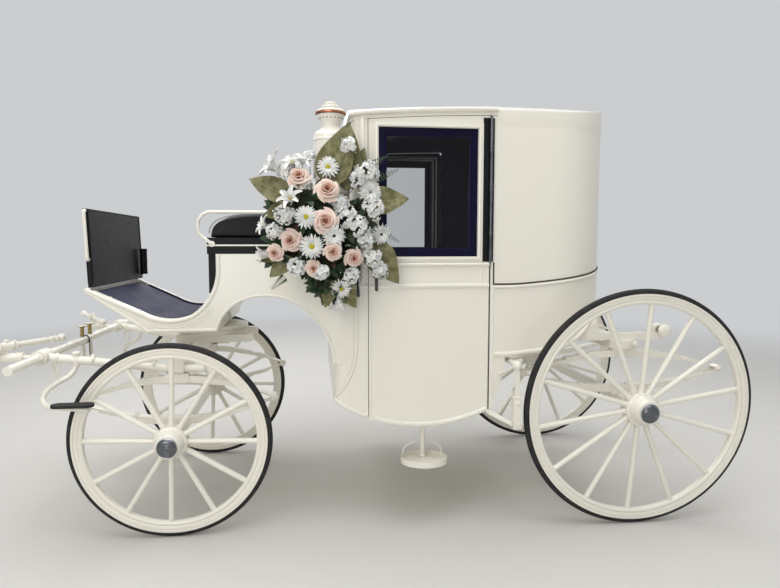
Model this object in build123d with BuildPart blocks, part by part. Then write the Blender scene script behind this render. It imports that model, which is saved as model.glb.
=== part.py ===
from build123d import *
from math import cos, radians, sin, sqrt
import os

os.makedirs("parts", exist_ok=True)

# Driving dimensions of the closed coach, in millimetres and degrees.
# The carriage faces +X, its left side is +Y, and it stands on Z = 0.
wheelbase = 2200
front_wheel_radius = 458
rear_wheel_radius = 575
front_track = 1188
rear_track = 1426
wheel_camber = 2.2

body_width = 1200
body_wall = 35
waist_height = 1165
body_rear_setback = 2150
body_rear_corner = 350
body_front_corner = 60
cab_front_setback = 835
well_front_setback = 742
well_front_height = 615
well_low_height = 484
well_rear_height = 562
well_rear_setback = 1500
tail_front_setback = 1568
tail_height = 812
tail_rear_setback = 1850
tail_rise = 30
tail_bulge = 61

door_front_setback = 905
door_rear_setback = 1490
door_gap = 7
door_thickness = 35
window_front_inset = 50
window_rear_inset = 66
window_sill_height = 1298
window_head_height = 1893
sash_width = 40
sash_thickness = 18
glass_thickness = 5

head_panel = 89
roof_side_height = window_head_height + head_panel
roof_peak_setback = 1620
roof_arch_radius = 9000
roof_crown_rise = 100
roof_edge_thickness = 26
roof_overhang = 3

boot_width = 860
boot_front_setback = 190
boot_top_height = 1310
seat_deck_height = 1388

turntable_setback = 100
turntable_radius = 190
turntable_bore = 140
turntable_plate = 20
turntable_gap = 2
king_pin_radius = 16
pin_clearance = 0.3

leaf_thickness = 8
leaf_width = 44
leaf_count = 4
spring_eye_radius = 15
front_spring_spacing = 434
rear_spring_spacing = 520

splinter_bar_reach = 565
splinter_bar_height = 850
splinter_bar_radius = 21
splinter_end_radius = 20
splinter_bar_length = 1720
socket_half_spacing = 540

single_tree_length = 560
single_tree_radius = 13
single_tree_knob = 20
single_tree_yaw = 30
single_tree_lead = 150

# The origin lies under the middle of the overall length, which runs from the
# foremost knob of the single trees to the back of the rear tyres.
single_tree_station = splinter_bar_reach + single_tree_lead
front_reach = (single_tree_station + single_tree_length / 2 * sin(radians(single_tree_yaw))
               + single_tree_knob)
overall_length = front_reach + wheelbase + rear_wheel_radius
front_axle_x = overall_length / 2 - front_reach
rear_axle_x = front_axle_x - wheelbase

sides = [("left", 1), ("right", -1)]


def behind(setback):
    """Station along X of something that lies this far behind the front axle."""
    return front_axle_x - setback


def leans(side):
    """Outward direction of an axle arm, which droops with the camber."""
    camber = radians(wheel_camber)
    return Vector(0, side * cos(camber), -sin(camber))


def wheel_centre(axle_x, radius, track, side):
    """Centre of a wheel whose leaning round tyre just meets the ground."""
    camber = radians(wheel_camber)
    lift = (radius - tyre_crown) * cos(camber) + tyre_crown
    return Vector(axle_x, side * track / 2, lift)


# Wheels: turned hub, tapered spokes and bent felloe in one node, with a solid
# rubber tyre in a steel channel and a polished cap over the axle nut.
tyre_crown = 15
tyre_depth = 25
felloe_depth = 48
felloe_width = 36
channel_depth = 4
spoke_root = 15
spoke_tip = 12
hub_inner = 88
hub_nose = 92
cap_radius = 46
cap_depth = 20
cap_dome = 12
dome_radius = (cap_radius**2 + cap_dome**2) / (2 * cap_dome)
arm_radius = 22
arm_clearance = 0.3

# end, axle station, tyre radius, track, spoke count, spoke phase, hub flange radius, hub nose radius
wheel_table = [
    ("front", front_axle_x, front_wheel_radius, front_track, 12, 2, 74, 52),
    ("rear", rear_axle_x, rear_wheel_radius, rear_track, 14, 4, 80, 56),
]

for end, axle_x, radius, track, spokes, phase, flange, nose in wheel_table:
    for side_name, side in sides:
        centre = wheel_centre(axle_x, radius, track, side)
        outward = leans(side)
        section = Plane(origin=centre, x_dir=outward, z_dir=(side, 0, 0))
        axle_line = Axis(centre, outward)
        felloe_outer = radius - tyre_depth
        felloe_inner = felloe_outer - felloe_depth

        with BuildPart() as wheel:
            with BuildSketch(section):
                with BuildLine():
                    Polyline(
                        (-hub_inner, arm_radius + arm_clearance), (-hub_inner, nose - 6),
                        (-0.5 * hub_inner, flange - 16), (-0.45 * hub_inner, flange),
                        (0.4 * hub_nose, flange), (0.48 * hub_nose, flange - 7),
                        (hub_nose, nose), (hub_nose, arm_radius + arm_clearance), close=True)
                make_face()
            revolve(axis=axle_line)
            with BuildSketch(section):
                with Locations((0, (felloe_outer + felloe_inner) / 2)):
                    RectangleRounded(felloe_width, felloe_depth, 7)
            revolve(axis=axle_line)
            with BuildSketch(section):
                with Locations((0, felloe_outer - channel_depth)):
                    Rectangle(felloe_width + 2, 2 * channel_depth)
            revolve(axis=axle_line)
            for spoke in range(spokes):
                turn = radians(phase + 360 / spokes * spoke)
                reach = section.y_dir * cos(turn) + Vector(1, 0, 0) * sin(turn)
                root = Plane(origin=centre + reach * (flange - 12), x_dir=outward, z_dir=reach)
                with BuildSketch(root):
                    Ellipse(spoke_root + 3, spoke_root)
                with BuildSketch(root.offset(felloe_inner - flange + 18)):
                    Ellipse(spoke_tip, spoke_tip + 1)
                loft()
        wheel.part.label = f"wheel_{end}_{side_name}"
        export_step(wheel.part, f"parts/wheel_{end}_{side_name}.step")

        with BuildPart() as tyre:
            with BuildSketch(section):
                with Locations((0, felloe_outer + (tyre_depth - tyre_crown) / 2)):
                    Rectangle(2 * tyre_crown, tyre_depth - tyre_crown)
                with Locations((0, radius - tyre_crown)):
                    Circle(tyre_crown)
                with Locations((0, felloe_outer - tyre_crown)):
                    Rectangle(4 * tyre_crown, 2 * tyre_crown, mode=Mode.SUBTRACT)
            revolve(axis=axle_line)
        tyre.part.label = f"tyre_{end}_{side_name}"
        export_step(tyre.part, f"parts/tyre_{end}_{side_name}.step")

        with BuildPart() as hub_cap:
            with BuildSketch(section):
                with BuildLine():
                    rim = Line((hub_nose, cap_radius), (hub_nose + cap_depth - cap_dome, cap_radius))
                    dome = RadiusArc(rim @ 1, (hub_nose + cap_depth, 0), dome_radius)
                    Polyline(dome @ 1, (hub_nose, 0), rim @ 0)
                make_face()
            revolve(axis=axle_line)
        hub_cap.part.label = f"hub_cap_{end}_{side_name}"
        export_step(hub_cap.part, f"parts/hub_cap_{end}_{side_name}.step")

# Axles: square beams whose arms droop with the camber into the hubs.
axle_half = 22
arm_end_gap = 4
shoulder_gap = 3

for end, axle_x, radius, track, spokes, phase, flange, nose in wheel_table:
    centre_left = wheel_centre(axle_x, radius, track, 1)
    inner_left = centre_left - leans(1) * (hub_inner + shoulder_gap)
    with BuildPart() as axle:
        with BuildSketch(Plane.XZ):
            with Locations((axle_x, inner_left.Z)):
                RectangleRounded(2 * axle_half, 2 * axle_half, 6)
        extrude(amount=inner_left.Y, both=True)
        for side_name, side in sides:
            centre = wheel_centre(axle_x, radius, track, side)
            start = centre - leans(side) * (hub_inner + shoulder_gap + axle_half)
            with BuildSketch(Plane(origin=start, x_dir=(1, 0, 0), z_dir=leans(side))):
                Circle(arm_radius)
            extrude(amount=hub_inner + shoulder_gap + axle_half + hub_nose - arm_end_gap)
            with BuildSketch(Plane(origin=start, x_dir=(1, 0, 0), z_dir=leans(side))):
                Circle(arm_radius + 8)
            extrude(amount=axle_half)
    axle.part.label = f"axle_{end}"
    export_step(axle.part, f"parts/axle_{end}.step")

# Elliptic springs: two packs of leaves joined at their eyes, with a saddle
# above and below.  The front pair rides on the front axle, the rear pair on
# the rear axle, all lying fore and aft.
saddle_length = 110
saddle_height = 12

# end, axle station, axle centre height, half length between eyes, half spacing, camber of each pack
front_axle_height = wheel_centre(0, front_wheel_radius, front_track, 1).Z + (
    hub_inner + shoulder_gap) * sin(radians(wheel_camber))
rear_axle_height = wheel_centre(0, rear_wheel_radius, rear_track, 1).Z + (
    hub_inner + shoulder_gap) * sin(radians(wheel_camber))
spring_table = [
    ("front", front_axle_x, front_axle_height, 455, front_spring_spacing, 85),
    ("rear", rear_axle_x, rear_axle_height, 520, rear_spring_spacing, 74),
]
pack = leaf_count * leaf_thickness
spring_top = {}
for end, axle_x, axle_height, half_length, half_spacing, rise in spring_table:
    eye_height = axle_height + axle_half + saddle_height + pack + rise
    spring_top[end] = eye_height + rise + pack + saddle_height
    with BuildPart() as springs:
        for side_name, side in sides:
            side_plane = Plane.XZ.offset(-side * half_spacing)
            for up in (1, -1):
                inner_radius = (half_length**2 + rise**2) / (2 * rise)
                centre_z = eye_height + up * (rise - inner_radius)
                half_angle = 2 * (90 - Vector(half_length, rise).get_angle(Vector(0, 1)))
                for leaf in range(leaf_count):
                    spread = radians(half_angle * (1 - leaf / (leaf_count + 0.6)))
                    low = inner_radius + leaf * leaf_thickness
                    high = low + leaf_thickness
                    with BuildSketch(side_plane):
                        with BuildLine():
                            under = ThreePointArc(
                                (axle_x - low * sin(spread), centre_z + up * low * cos(spread)),
                                (axle_x, centre_z + up * low),
                                (axle_x + low * sin(spread), centre_z + up * low * cos(spread)))
                            over = ThreePointArc(
                                (axle_x - high * sin(spread), centre_z + up * high * cos(spread)),
                                (axle_x, centre_z + up * high),
                                (axle_x + high * sin(spread), centre_z + up * high * cos(spread)))
                            Line(under @ 0, over @ 0)
                            Line(under @ 1, over @ 1)
                        make_face()
                    extrude(amount=leaf_width / 2, both=True)
                with BuildSketch(side_plane):
                    saddle_z = eye_height + up * (rise + pack / 2 + saddle_height / 2)
                    with Locations((axle_x, saddle_z)):
                        Rectangle(saddle_length, pack + saddle_height)
                extrude(amount=leaf_width / 2 + 6, both=True)
            with BuildSketch(side_plane):
                with Locations((axle_x - half_length, eye_height), (axle_x + half_length, eye_height)):
                    Circle(spring_eye_radius)
            extrude(amount=leaf_width / 2 + 4, both=True)
    springs.part.label = f"springs_{end}"
    export_step(springs.part, f"parts/springs_{end}.step")

# Plan outlines of the cab: flat sides, a tight radius at the front corners and
# a wide one round the back.
half_body = body_width / 2


def cab_plan(inset, front_setback):
    """Edges of the cab's plan outline, drawn in from the outer face by inset."""
    front = behind(front_setback + inset)
    rear = behind(body_rear_setback - inset)
    half = half_body - inset
    front_corner = max(body_front_corner - inset, 5)
    rear_corner = body_rear_corner - inset
    with BuildLine() as outline:
        left = Line((front - front_corner, half), (rear + rear_corner, half))
        back_left = RadiusArc(left @ 1, (rear, half - rear_corner), -rear_corner)
        back = Line(back_left @ 1, (rear, -half + rear_corner))
        back_right = RadiusArc(back @ 1, (rear + rear_corner, -half), -rear_corner)
        right = Line(back_right @ 1, (front - front_corner, -half))
        front_right = RadiusArc(right @ 1, (front, -half + front_corner), -front_corner)
        nose = Line(front_right @ 1, (front, half - front_corner))
        RadiusArc(nose @ 1, left @ 0, -front_corner)
    return outline.edges()


def lower_profile(inset):
    """Edges of the side outline of the body below the waist, drawn in by inset.

    It runs a little past the cab's plan at the front and the back, which trims it.
    """
    overrun = 12
    front = behind(well_front_setback + inset - overrun)
    rear = behind(body_rear_setback - inset + overrun)
    tail_rear_height = tail_height + tail_rise
    with BuildLine() as outline:
        nose = Line((front, waist_height), (front, well_front_height + inset + 0.7 * overrun))
        rocker = ThreePointArc(
            nose @ 1,
            (behind(0.5 * (well_front_setback + well_rear_setback) + 60), well_low_height + inset),
            (behind(well_rear_setback - inset), well_rear_height + inset))
        heel = ThreePointArc(
            rocker @ 1,
            (behind(well_rear_setback + 48 - inset), 0.5 * (well_rear_height + tail_height) + inset),
            (behind(tail_front_setback - inset), tail_height + inset))
        rail = Line(heel @ 1, (behind(tail_rear_setback - inset / 3), tail_rear_height + inset))
        tuck = ThreePointArc(
            rail @ 1,
            (behind((tail_rear_setback + body_rear_setback) / 2 - inset) - tail_bulge / sqrt(2),
             (tail_rear_height + waist_height) / 2 - tail_bulge / sqrt(2) + inset / 2),
            (rear, waist_height))
        Line(tuck @ 1, nose @ 0)
    return outline.edges()


def roof_line(low, clearance=0):
    """Edges of the side view region from a level up to the arched top of the walls."""
    radius = roof_arch_radius - roof_edge_thickness - clearance
    pivot_height = roof_side_height - roof_arch_radius
    peak = behind(roof_peak_setback)
    front = behind(cab_front_setback - 100)
    rear = behind(body_rear_setback + 100)
    with BuildLine() as outline:
        arch = ThreePointArc(
            (front, pivot_height + sqrt(radius**2 - (front - peak)**2)),
            (peak, pivot_height + radius),
            (rear, pivot_height + sqrt(radius**2 - (peak - rear)**2)))
        Polyline(arch @ 1, (rear, low), (front, low), arch @ 0)
    return outline.edges()


# Lower body: side panels, rounded tail and curved floor as one hollow shell,
# open at the top and cut away where the doors hang.
with BuildPart() as lower_body:
    with BuildSketch(Plane.XY):
        make_face(cab_plan(0, well_front_setback))
    extrude(amount=waist_height)
    with BuildSketch(Plane.XZ):
        make_face(lower_profile(0))
    extrude(amount=body_width, both=True, mode=Mode.INTERSECT)
    with BuildPart(mode=Mode.PRIVATE) as lower_room:
        with BuildSketch(Plane.XY):
            make_face(cab_plan(body_wall, well_front_setback))
        extrude(amount=waist_height + 10)
        with BuildSketch(Plane.XZ):
            make_face(lower_profile(body_wall))
        extrude(amount=body_width, both=True, mode=Mode.INTERSECT)
    add(lower_room.part, mode=Mode.SUBTRACT)
    for side_name, side in sides:
        with BuildSketch(Plane.XZ.offset(-side * (half_body - door_thickness / 2))):
            with Locations((behind((door_front_setback + door_rear_setback) / 2), waist_height / 2)):
                Rectangle(door_rear_setback - door_front_setback, waist_height + 10)
        extrude(amount=door_thickness / 2 + 1, both=True, mode=Mode.SUBTRACT)
lower_body.part.label = "lower_body"
export_step(lower_body.part, "parts/lower_body.step")

# Upper body: the front wall with its corner pillars, and the back panel that
# wraps round from one door to the other.  Both are cut from one outline.
front_window_width = 700
front_window_low = 1560
front_window_high = 1830
rear_window_width = 440
rear_window_low = 1500
rear_window_high = 1740
pane_clearance = 1
window_corner = 20


with BuildPart() as upper_shell:
    with BuildSketch(Plane.XY.offset(waist_height)):
        make_face(cab_plan(0, cab_front_setback))
    extrude(amount=roof_side_height - waist_height)
    with BuildSketch(Plane.XZ):
        make_face(roof_line(waist_height))
    extrude(amount=body_width, both=True, mode=Mode.INTERSECT)
    with BuildSketch(Plane.XY.offset(waist_height)):
        make_face(cab_plan(body_wall, cab_front_setback))
    extrude(amount=roof_side_height - waist_height, mode=Mode.SUBTRACT)

with BuildPart() as front_wall:
    add(upper_shell.part)
    with BuildSketch(Plane.XY.offset(waist_height)):
        with Locations((behind(door_front_setback + body_rear_setback), 0)):
            Rectangle(2 * body_rear_setback, 2 * body_width)
    extrude(amount=roof_side_height, mode=Mode.SUBTRACT)
    with BuildSketch(Plane.YZ.offset(behind(cab_front_setback))):
        with Locations((0, (front_window_low + front_window_high) / 2)):
            RectangleRounded(front_window_width, front_window_high - front_window_low, window_corner)
    extrude(amount=2 * body_wall, both=True, mode=Mode.SUBTRACT)
front_wall.part.label = "front_wall"
export_step(front_wall.part, "parts/front_wall.step")

with BuildPart() as back_panel:
    add(upper_shell.part)
    with BuildSketch(Plane.XY.offset(waist_height)):
        with Locations((behind(door_rear_setback - body_rear_setback), 0)):
            Rectangle(2 * body_rear_setback, 2 * body_width)
    extrude(amount=roof_side_height, mode=Mode.SUBTRACT)
    with BuildSketch(Plane.YZ.offset(behind(body_rear_setback))):
        with Locations((0, (rear_window_low + rear_window_high) / 2)):
            RectangleRounded(rear_window_width, rear_window_high - rear_window_low, window_corner)
    extrude(amount=2 * body_wall, both=True, mode=Mode.SUBTRACT)
back_panel.part.label = "back_panel"
export_step(back_panel.part, "parts/back_panel.step")

# setback of the pane's middle, width, low edge, high edge
pane_table = [
    (cab_front_setback + body_wall / 2, front_window_width, front_window_low, front_window_high),
    (body_rear_setback - body_wall / 2, rear_window_width, rear_window_low, rear_window_high),
]
with BuildPart() as cab_glass:
    for setback, width, low, high in pane_table:
        with BuildSketch(Plane.YZ.offset(behind(setback))):
            with Locations((0, (low + high) / 2)):
                RectangleRounded(width - 2 * pane_clearance, high - low - 2 * pane_clearance,
                                 window_corner)
        extrude(amount=glass_thickness / 2, both=True)
cab_glass.part.label = "cab_glass"
export_step(cab_glass.part, "parts/cab_glass.step")

# Roof: one board crowned across and arched along, resting on the walls all
# round and hollowed over the room.
roof_pivot = Axis((behind(roof_peak_setback), 0, roof_side_height - roof_arch_radius), (0, 1, 0))
roof_pivot_back = Axis((behind(roof_peak_setback), 0, roof_side_height - roof_arch_radius), (0, -1, 0))
roof_sweep = 6
roof_board = 24


def crown(half, low, edge, rise):
    """Edges of a band across the carriage with a crowned top."""
    with BuildLine() as outline:
        top = ThreePointArc((-half, edge), (0, edge + rise), (half, edge))
        Polyline(top @ 1, (half, low), (-half, low), top @ 0)
    return outline.edges()


roof_bottom = roof_side_height - roof_edge_thickness
with BuildPart() as roof:
    for pivot in (roof_pivot, roof_pivot_back):
        with BuildSketch(Plane.YZ.offset(behind(roof_peak_setback))):
            make_face(crown(half_body + roof_overhang, roof_bottom, roof_side_height, roof_crown_rise))
        revolve(axis=pivot, revolution_arc=roof_sweep)
    with BuildSketch(Plane.XY.offset(waist_height)):
        make_face(cab_plan(-roof_overhang, cab_front_setback))
    extrude(amount=2 * roof_side_height, mode=Mode.INTERSECT)
    with BuildPart(mode=Mode.PRIVATE) as roof_room:
        for pivot in (roof_pivot, roof_pivot_back):
            with BuildSketch(Plane.YZ.offset(behind(roof_peak_setback))):
                make_face(crown(half_body - body_wall, roof_bottom - 50, roof_bottom,
                                roof_crown_rise + roof_edge_thickness - roof_board))
            revolve(axis=pivot, revolution_arc=roof_sweep)
        with BuildSketch(Plane.XY.offset(waist_height)):
            make_face(cab_plan(body_wall, cab_front_setback))
        extrude(amount=2 * roof_side_height, mode=Mode.INTERSECT)
    add(roof_room.part, mode=Mode.SUBTRACT)
roof.part.label = "roof"
export_step(roof.part, "parts/roof.step")

# Doors: one full height panel each, with the window cut, a dark sash and its
# glass, and a lever handle.  They hang on the rear pillar.
window_front_setback = door_front_setback + window_front_inset
window_rear_setback = door_rear_setback - window_rear_inset
window_centre_x = behind((window_front_setback + window_rear_setback) / 2)
window_centre_z = (window_sill_height + window_head_height) / 2
window_length = window_rear_setback - window_front_setback
window_height = window_head_height - window_sill_height
sash_inset = 10
handle_height = 1215
handle_setback = door_front_setback + 36

for side_name, side in sides:
    with BuildPart() as door:
        panel_plane = Plane.XZ.offset(-side * (half_body - door_thickness / 2))
        with BuildSketch(panel_plane):
            with Locations((behind((door_front_setback + door_rear_setback) / 2), roof_side_height / 2)):
                Rectangle(door_rear_setback - door_front_setback - 2 * door_gap, roof_side_height)
        extrude(amount=door_thickness / 2, both=True)
        with BuildPart(mode=Mode.PRIVATE) as door_outline:
            with BuildSketch(panel_plane):
                make_face(lower_profile(0))
            extrude(amount=door_thickness, both=True)
            with BuildSketch(panel_plane):
                make_face(roof_line(waist_height - 1, door_gap))
            extrude(amount=door_thickness, both=True)
        add(door_outline.part, mode=Mode.INTERSECT)
        with BuildSketch(panel_plane):
            with Locations((window_centre_x, window_centre_z)):
                Rectangle(window_length, window_height)
        extrude(amount=door_thickness, both=True, mode=Mode.SUBTRACT)
    door.part.label = f"door_{side_name}"
    export_step(door.part, f"parts/door_{side_name}.step")

    sash_y = half_body - sash_inset - sash_thickness / 2
    with BuildPart() as sash:
        with BuildSketch(Plane.XZ.offset(-side * sash_y)):
            with Locations((window_centre_x, window_centre_z)):
                Rectangle(window_length, window_height)
                Rectangle(window_length - 2 * sash_width, window_height - 2 * sash_width,
                          mode=Mode.SUBTRACT)
        extrude(amount=sash_thickness / 2, both=True)
    sash.part.label = f"door_sash_{side_name}"
    export_step(sash.part, f"parts/door_sash_{side_name}.step")

    with BuildPart() as door_glass:
        with BuildSketch(Plane.XZ.offset(-side * sash_y)):
            with Locations((window_centre_x, window_centre_z)):
                Rectangle(window_length - 2 * sash_width, window_height - 2 * sash_width)
        extrude(amount=glass_thickness / 2, both=True)
    door_glass.part.label = f"door_glass_{side_name}"
    export_step(door_glass.part, f"parts/door_glass_{side_name}.step")

    with BuildPart() as handle:
        rose = Plane(origin=(behind(handle_setback), side * half_body, handle_height),
                     x_dir=(1, 0, 0), z_dir=(0, side, 0))
        with BuildSketch(rose):
            Circle(16)
        extrude(amount=6)
        with BuildSketch(rose.offset(6)):
            Circle(7)
        extrude(amount=24)
        with BuildSketch(rose.offset(24)):
            with Locations((0, side * 30)):
                SlotOverall(90, 14, rotation=90)
        extrude(amount=10)
    handle.part.label = f"door_handle_{side_name}"
    export_step(handle.part, f"parts/door_handle_{side_name}.step")

# Hinge covers: a rod in a leather strip along the door's rear edge, on the
# hinge line and fixed to the back panel.
hinge_setback = door_rear_setback - 6
hinge_stand_off = 12
hinge_rod_radius = 8
hinge_low = 1262
hinge_high = 1915
strip_thickness = 4
strip_width = 22

with BuildPart() as hinge_covers:
    for side_name, side in sides:
        with BuildSketch(Plane.XY.offset(hinge_low)):
            with Locations((behind(hinge_setback), side * (half_body + hinge_stand_off))):
                Circle(hinge_rod_radius)
            with Locations((behind(door_rear_setback + strip_width / 2),
                            side * (half_body + strip_thickness / 2))):
                Rectangle(strip_width, strip_thickness)
            with Locations((behind(hinge_setback + strip_width / 2), side * (half_body + strip_thickness + 4))):
                Rectangle(strip_width, 8)
        extrude(amount=hinge_high - hinge_low)
hinge_covers.part.label = "hinge_covers"
export_step(hinge_covers.part, "parts/hinge_covers.step")

# Pillar handles: black grab handles on the front pillars beside the doors.
pillar_handle_setback = 858
pillar_handle_low = 1118
pillar_handle_high = 1400
pillar_handle_radius = 8
pillar_handle_reach = 34
with BuildPart() as pillar_handles:
    for side_name, side in sides:
        with BuildLine() as handle_path:
            FilletPolyline(
                (behind(pillar_handle_setback), side * half_body, pillar_handle_high),
                (behind(pillar_handle_setback), side * (half_body + pillar_handle_reach), pillar_handle_high),
                (behind(pillar_handle_setback), side * (half_body + pillar_handle_reach), pillar_handle_low),
                (behind(pillar_handle_setback), side * half_body, pillar_handle_low), radius=18)
        with BuildSketch(Plane(origin=handle_path.line @ 0, z_dir=handle_path.line % 0)):
            Circle(pillar_handle_radius)
        sweep(path=handle_path.line)
pillar_handles.part.label = "pillar_handles"
export_step(pillar_handles.part, "parts/pillar_handles.step")

# Driver's box: a closed boot whose sides flare into the cab and arch over the
# steered wheels.
flare_start_setback = 400
flare_end_setback = 790
half_boot = boot_width / 2
boot_bottom_height = 936

with BuildPart() as boot:
    with BuildSketch(Plane.XY.offset(boot_bottom_height - 400)):
        with BuildLine():
            side_line = Line((behind(boot_front_setback), half_boot), (behind(flare_start_setback), half_boot))
            middle = (behind((flare_start_setback + flare_end_setback) / 2), (half_boot + half_body) / 2)
            flare_out = TangentArc(side_line @ 1, middle, tangent=(-1, 0))
            flare_in = TangentArc(flare_out @ 1, (behind(flare_end_setback), half_body),
                                  tangent=flare_out % 1)
            tail_line = Line(flare_in @ 1, (behind(cab_front_setback), half_body))
            Line(tail_line @ 1, (behind(cab_front_setback), 0))
            Line(side_line @ 0, (behind(boot_front_setback), 0))
            mirror(about=Plane.XZ)
        make_face()
    extrude(amount=boot_top_height)
    with BuildSketch(Plane.XZ):
        with BuildLine():
            rise_line = ThreePointArc(
                (behind(boot_front_setback), boot_bottom_height),
                (behind(228), 1018), (behind(300), 1078))
            crest = ThreePointArc(rise_line @ 1, (behind(420), 1102), (behind(560), 1072))
            fall = ThreePointArc(crest @ 1, (behind(680), 975), (behind(well_front_setback), 800))
            Polyline(fall @ 1, (behind(cab_front_setback), 800),
                     (behind(cab_front_setback), boot_top_height),
                     (behind(boot_front_setback), boot_top_height), rise_line @ 0)
        make_face()
    extrude(amount=body_width, both=True, mode=Mode.INTERSECT)
    with BuildPart(mode=Mode.PRIVATE) as cab_block:
        with BuildSketch(Plane.XY):
            make_face(cab_plan(0, well_front_setback))
        extrude(amount=waist_height)
        with BuildSketch(Plane.XY.offset(waist_height)):
            make_face(cab_plan(0, cab_front_setback))
        extrude(amount=roof_side_height)
    add(cab_block.part, mode=Mode.SUBTRACT)
boot.part.label = "boot"
export_step(boot.part, "parts/boot.step")

# Footboard: curved cheeks either side of a sunk tray, and a flat bottom over
# the turntable.
footboard_front_reach = 402
footboard_front_height = 1152
cheek_thickness = 30
tray_depth = 18
footboard_rear_reach = -boot_front_setback


def rim_region(drop, high):
    """Edges of the space above the footboard's rim, lowered by a drop."""
    with BuildLine() as outline:
        toe = Line((behind(-footboard_front_reach - 60), footboard_front_height + 28 - drop),
                   (behind(-150), 1032 - drop))
        sole = ThreePointArc(toe @ 1, (behind(-20), 1000 - drop), (behind(70), 1020 - drop))
        heel = ThreePointArc(sole @ 1, (behind(150), 1100 - drop),
                             (behind(boot_front_setback), 1250 - drop))
        Polyline(heel @ 1, (behind(boot_front_setback), high),
                 (behind(-footboard_front_reach - 60), high), toe @ 0)
    return outline.edges()


with BuildPart() as footboard:
    with BuildSketch(Plane.XZ):
        with BuildLine():
            Polyline(
                (behind(-footboard_front_reach), footboard_front_height + 30),
                (behind(-footboard_front_reach - 9), footboard_front_height - 24),
                (behind(-151), 950), (behind(-140), boot_bottom_height),
                (behind(boot_front_setback), boot_bottom_height),
                (behind(boot_front_setback), boot_top_height),
                (behind(-footboard_front_reach), boot_top_height), close=True)
        make_face()
    extrude(amount=half_boot, both=True)
    with BuildSketch(Plane.XZ):
        make_face(rim_region(0, 1400))
    extrude(amount=half_boot + 1, both=True, mode=Mode.SUBTRACT)
    with BuildSketch(Plane.XZ):
        make_face(rim_region(tray_depth, 1400))
    extrude(amount=half_boot - cheek_thickness, both=True, mode=Mode.SUBTRACT)
footboard.part.label = "footboard"
export_step(footboard.part, "parts/footboard.step")

# Footboard mat, laid in the tray.
mat_thickness = 6
mat_clearance = 2
with BuildPart() as footboard_mat:
    with BuildSketch(Plane.XZ):
        with BuildLine():
            Polyline((behind(-footboard_front_reach + 14), 900), (behind(-footboard_front_reach + 14), 1400),
                     (behind(boot_front_setback - 60), 1400), (behind(boot_front_setback - 60), 900), close=True)
        make_face()
    extrude(amount=half_boot - cheek_thickness - mat_clearance, both=True)
    with BuildSketch(Plane.XZ):
        make_face(rim_region(tray_depth - mat_thickness, 1500))
    extrude(amount=half_boot, both=True, mode=Mode.SUBTRACT)
    add(footboard.part, mode=Mode.SUBTRACT)
    with BuildPart(mode=Mode.PRIVATE) as mat_keep:
        with BuildSketch(Plane.XZ):
            make_face(rim_region(tray_depth, 1500))
        extrude(amount=half_boot, both=True)
    add(mat_keep.part, mode=Mode.INTERSECT)
footboard_mat.part.label = "footboard_mat"
export_step(footboard_mat.part, "parts/footboard_mat.step")

# Dashboard: an upright leather panel on the toe of the footboard, with a grab
# rail down each edge and a whip socket on the right.
dash_top_height = 1522
dash_foot_height = footboard_front_height + 2
dash_thickness = 20
dash_lean = 12
dash_half_width = 425
rail_radius = 8

with BuildPart() as dashboard:
    with BuildSketch(Plane.XZ):
        dash_x = behind(-footboard_front_reach + dash_thickness + 6)
        Polygon((dash_x, dash_foot_height), (dash_x + dash_thickness, dash_foot_height),
                (dash_x + dash_thickness + dash_lean, dash_top_height),
                (dash_x + dash_lean, dash_top_height), align=None)
    extrude(amount=dash_half_width, both=True)
    add(footboard.part, mode=Mode.SUBTRACT)
dashboard.part.label = "dashboard"
export_step(dashboard.part, "parts/dashboard.step")

dash_rail_low = 1284
dash_rail_high = 1512
dash_rail_gap = 10
with BuildPart() as whip_socket:
    socket_plane = Plane.XY.offset(1180)
    with BuildSketch(socket_plane):
        with Locations((dash_x - 24, -(dash_half_width - 60))):
            Circle(20)
    extrude(amount=150)
    with BuildSketch(Plane.XY.offset(1200)):
        with Locations((dash_x - 24, -(dash_half_width - 60))):
            Circle(13)
    extrude(amount=150, mode=Mode.SUBTRACT)
whip_socket.part.label = "whip_socket"
export_step(whip_socket.part, "parts/whip_socket.step")

# Driver's seat: leather covered base on the boot, a wedge cushion, a fall
# over the front of the boot and a rail round each side.
seat_front_setback = 150
seat_rear_setback = cab_front_setback
with BuildPart() as seat_base:
    with BuildSketch(Plane.XY.offset(boot_top_height)):
        with Locations((behind((seat_front_setback + seat_rear_setback) / 2), 0)):
            Rectangle(seat_rear_setback - seat_front_setback, boot_width)
    extrude(amount=seat_deck_height - boot_top_height)
seat_base.part.label = "seat_base"
export_step(seat_base.part, "parts/seat_base.step")

cushion_side_inset = 12
with BuildPart() as driver_cushion:
    with BuildSketch(Plane.XZ):
        with BuildLine():
            lip = ThreePointArc((behind(160), seat_deck_height), (behind(164), 1432), (behind(205), 1468))
            crest = ThreePointArc(lip @ 1, (behind(310), 1496), (behind(440), 1504))
            back_line = Line(crest @ 1, (behind(seat_rear_setback - 4), 1510))
            Polyline(back_line @ 1, (behind(seat_rear_setback - 4), seat_deck_height), lip @ 0)
        make_face()
    extrude(amount=half_boot - cushion_side_inset, both=True)
driver_cushion.part.label = "driver_cushion"
export_step(driver_cushion.part, "parts/driver_cushion.step")

with BuildPart() as seat_fall:
    with BuildSketch(Plane.XZ):
        with Locations((behind((seat_front_setback + boot_front_setback) / 2), 1215)):
            Rectangle(boot_front_setback - seat_front_setback - 2, 2 * (boot_top_height - 1215))
    extrude(amount=half_boot - cheek_thickness - mat_clearance, both=True)
    add(footboard.part, mode=Mode.SUBTRACT)
seat_fall.part.label = "seat_fall"
export_step(seat_fall.part, "parts/seat_fall.step")

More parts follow.
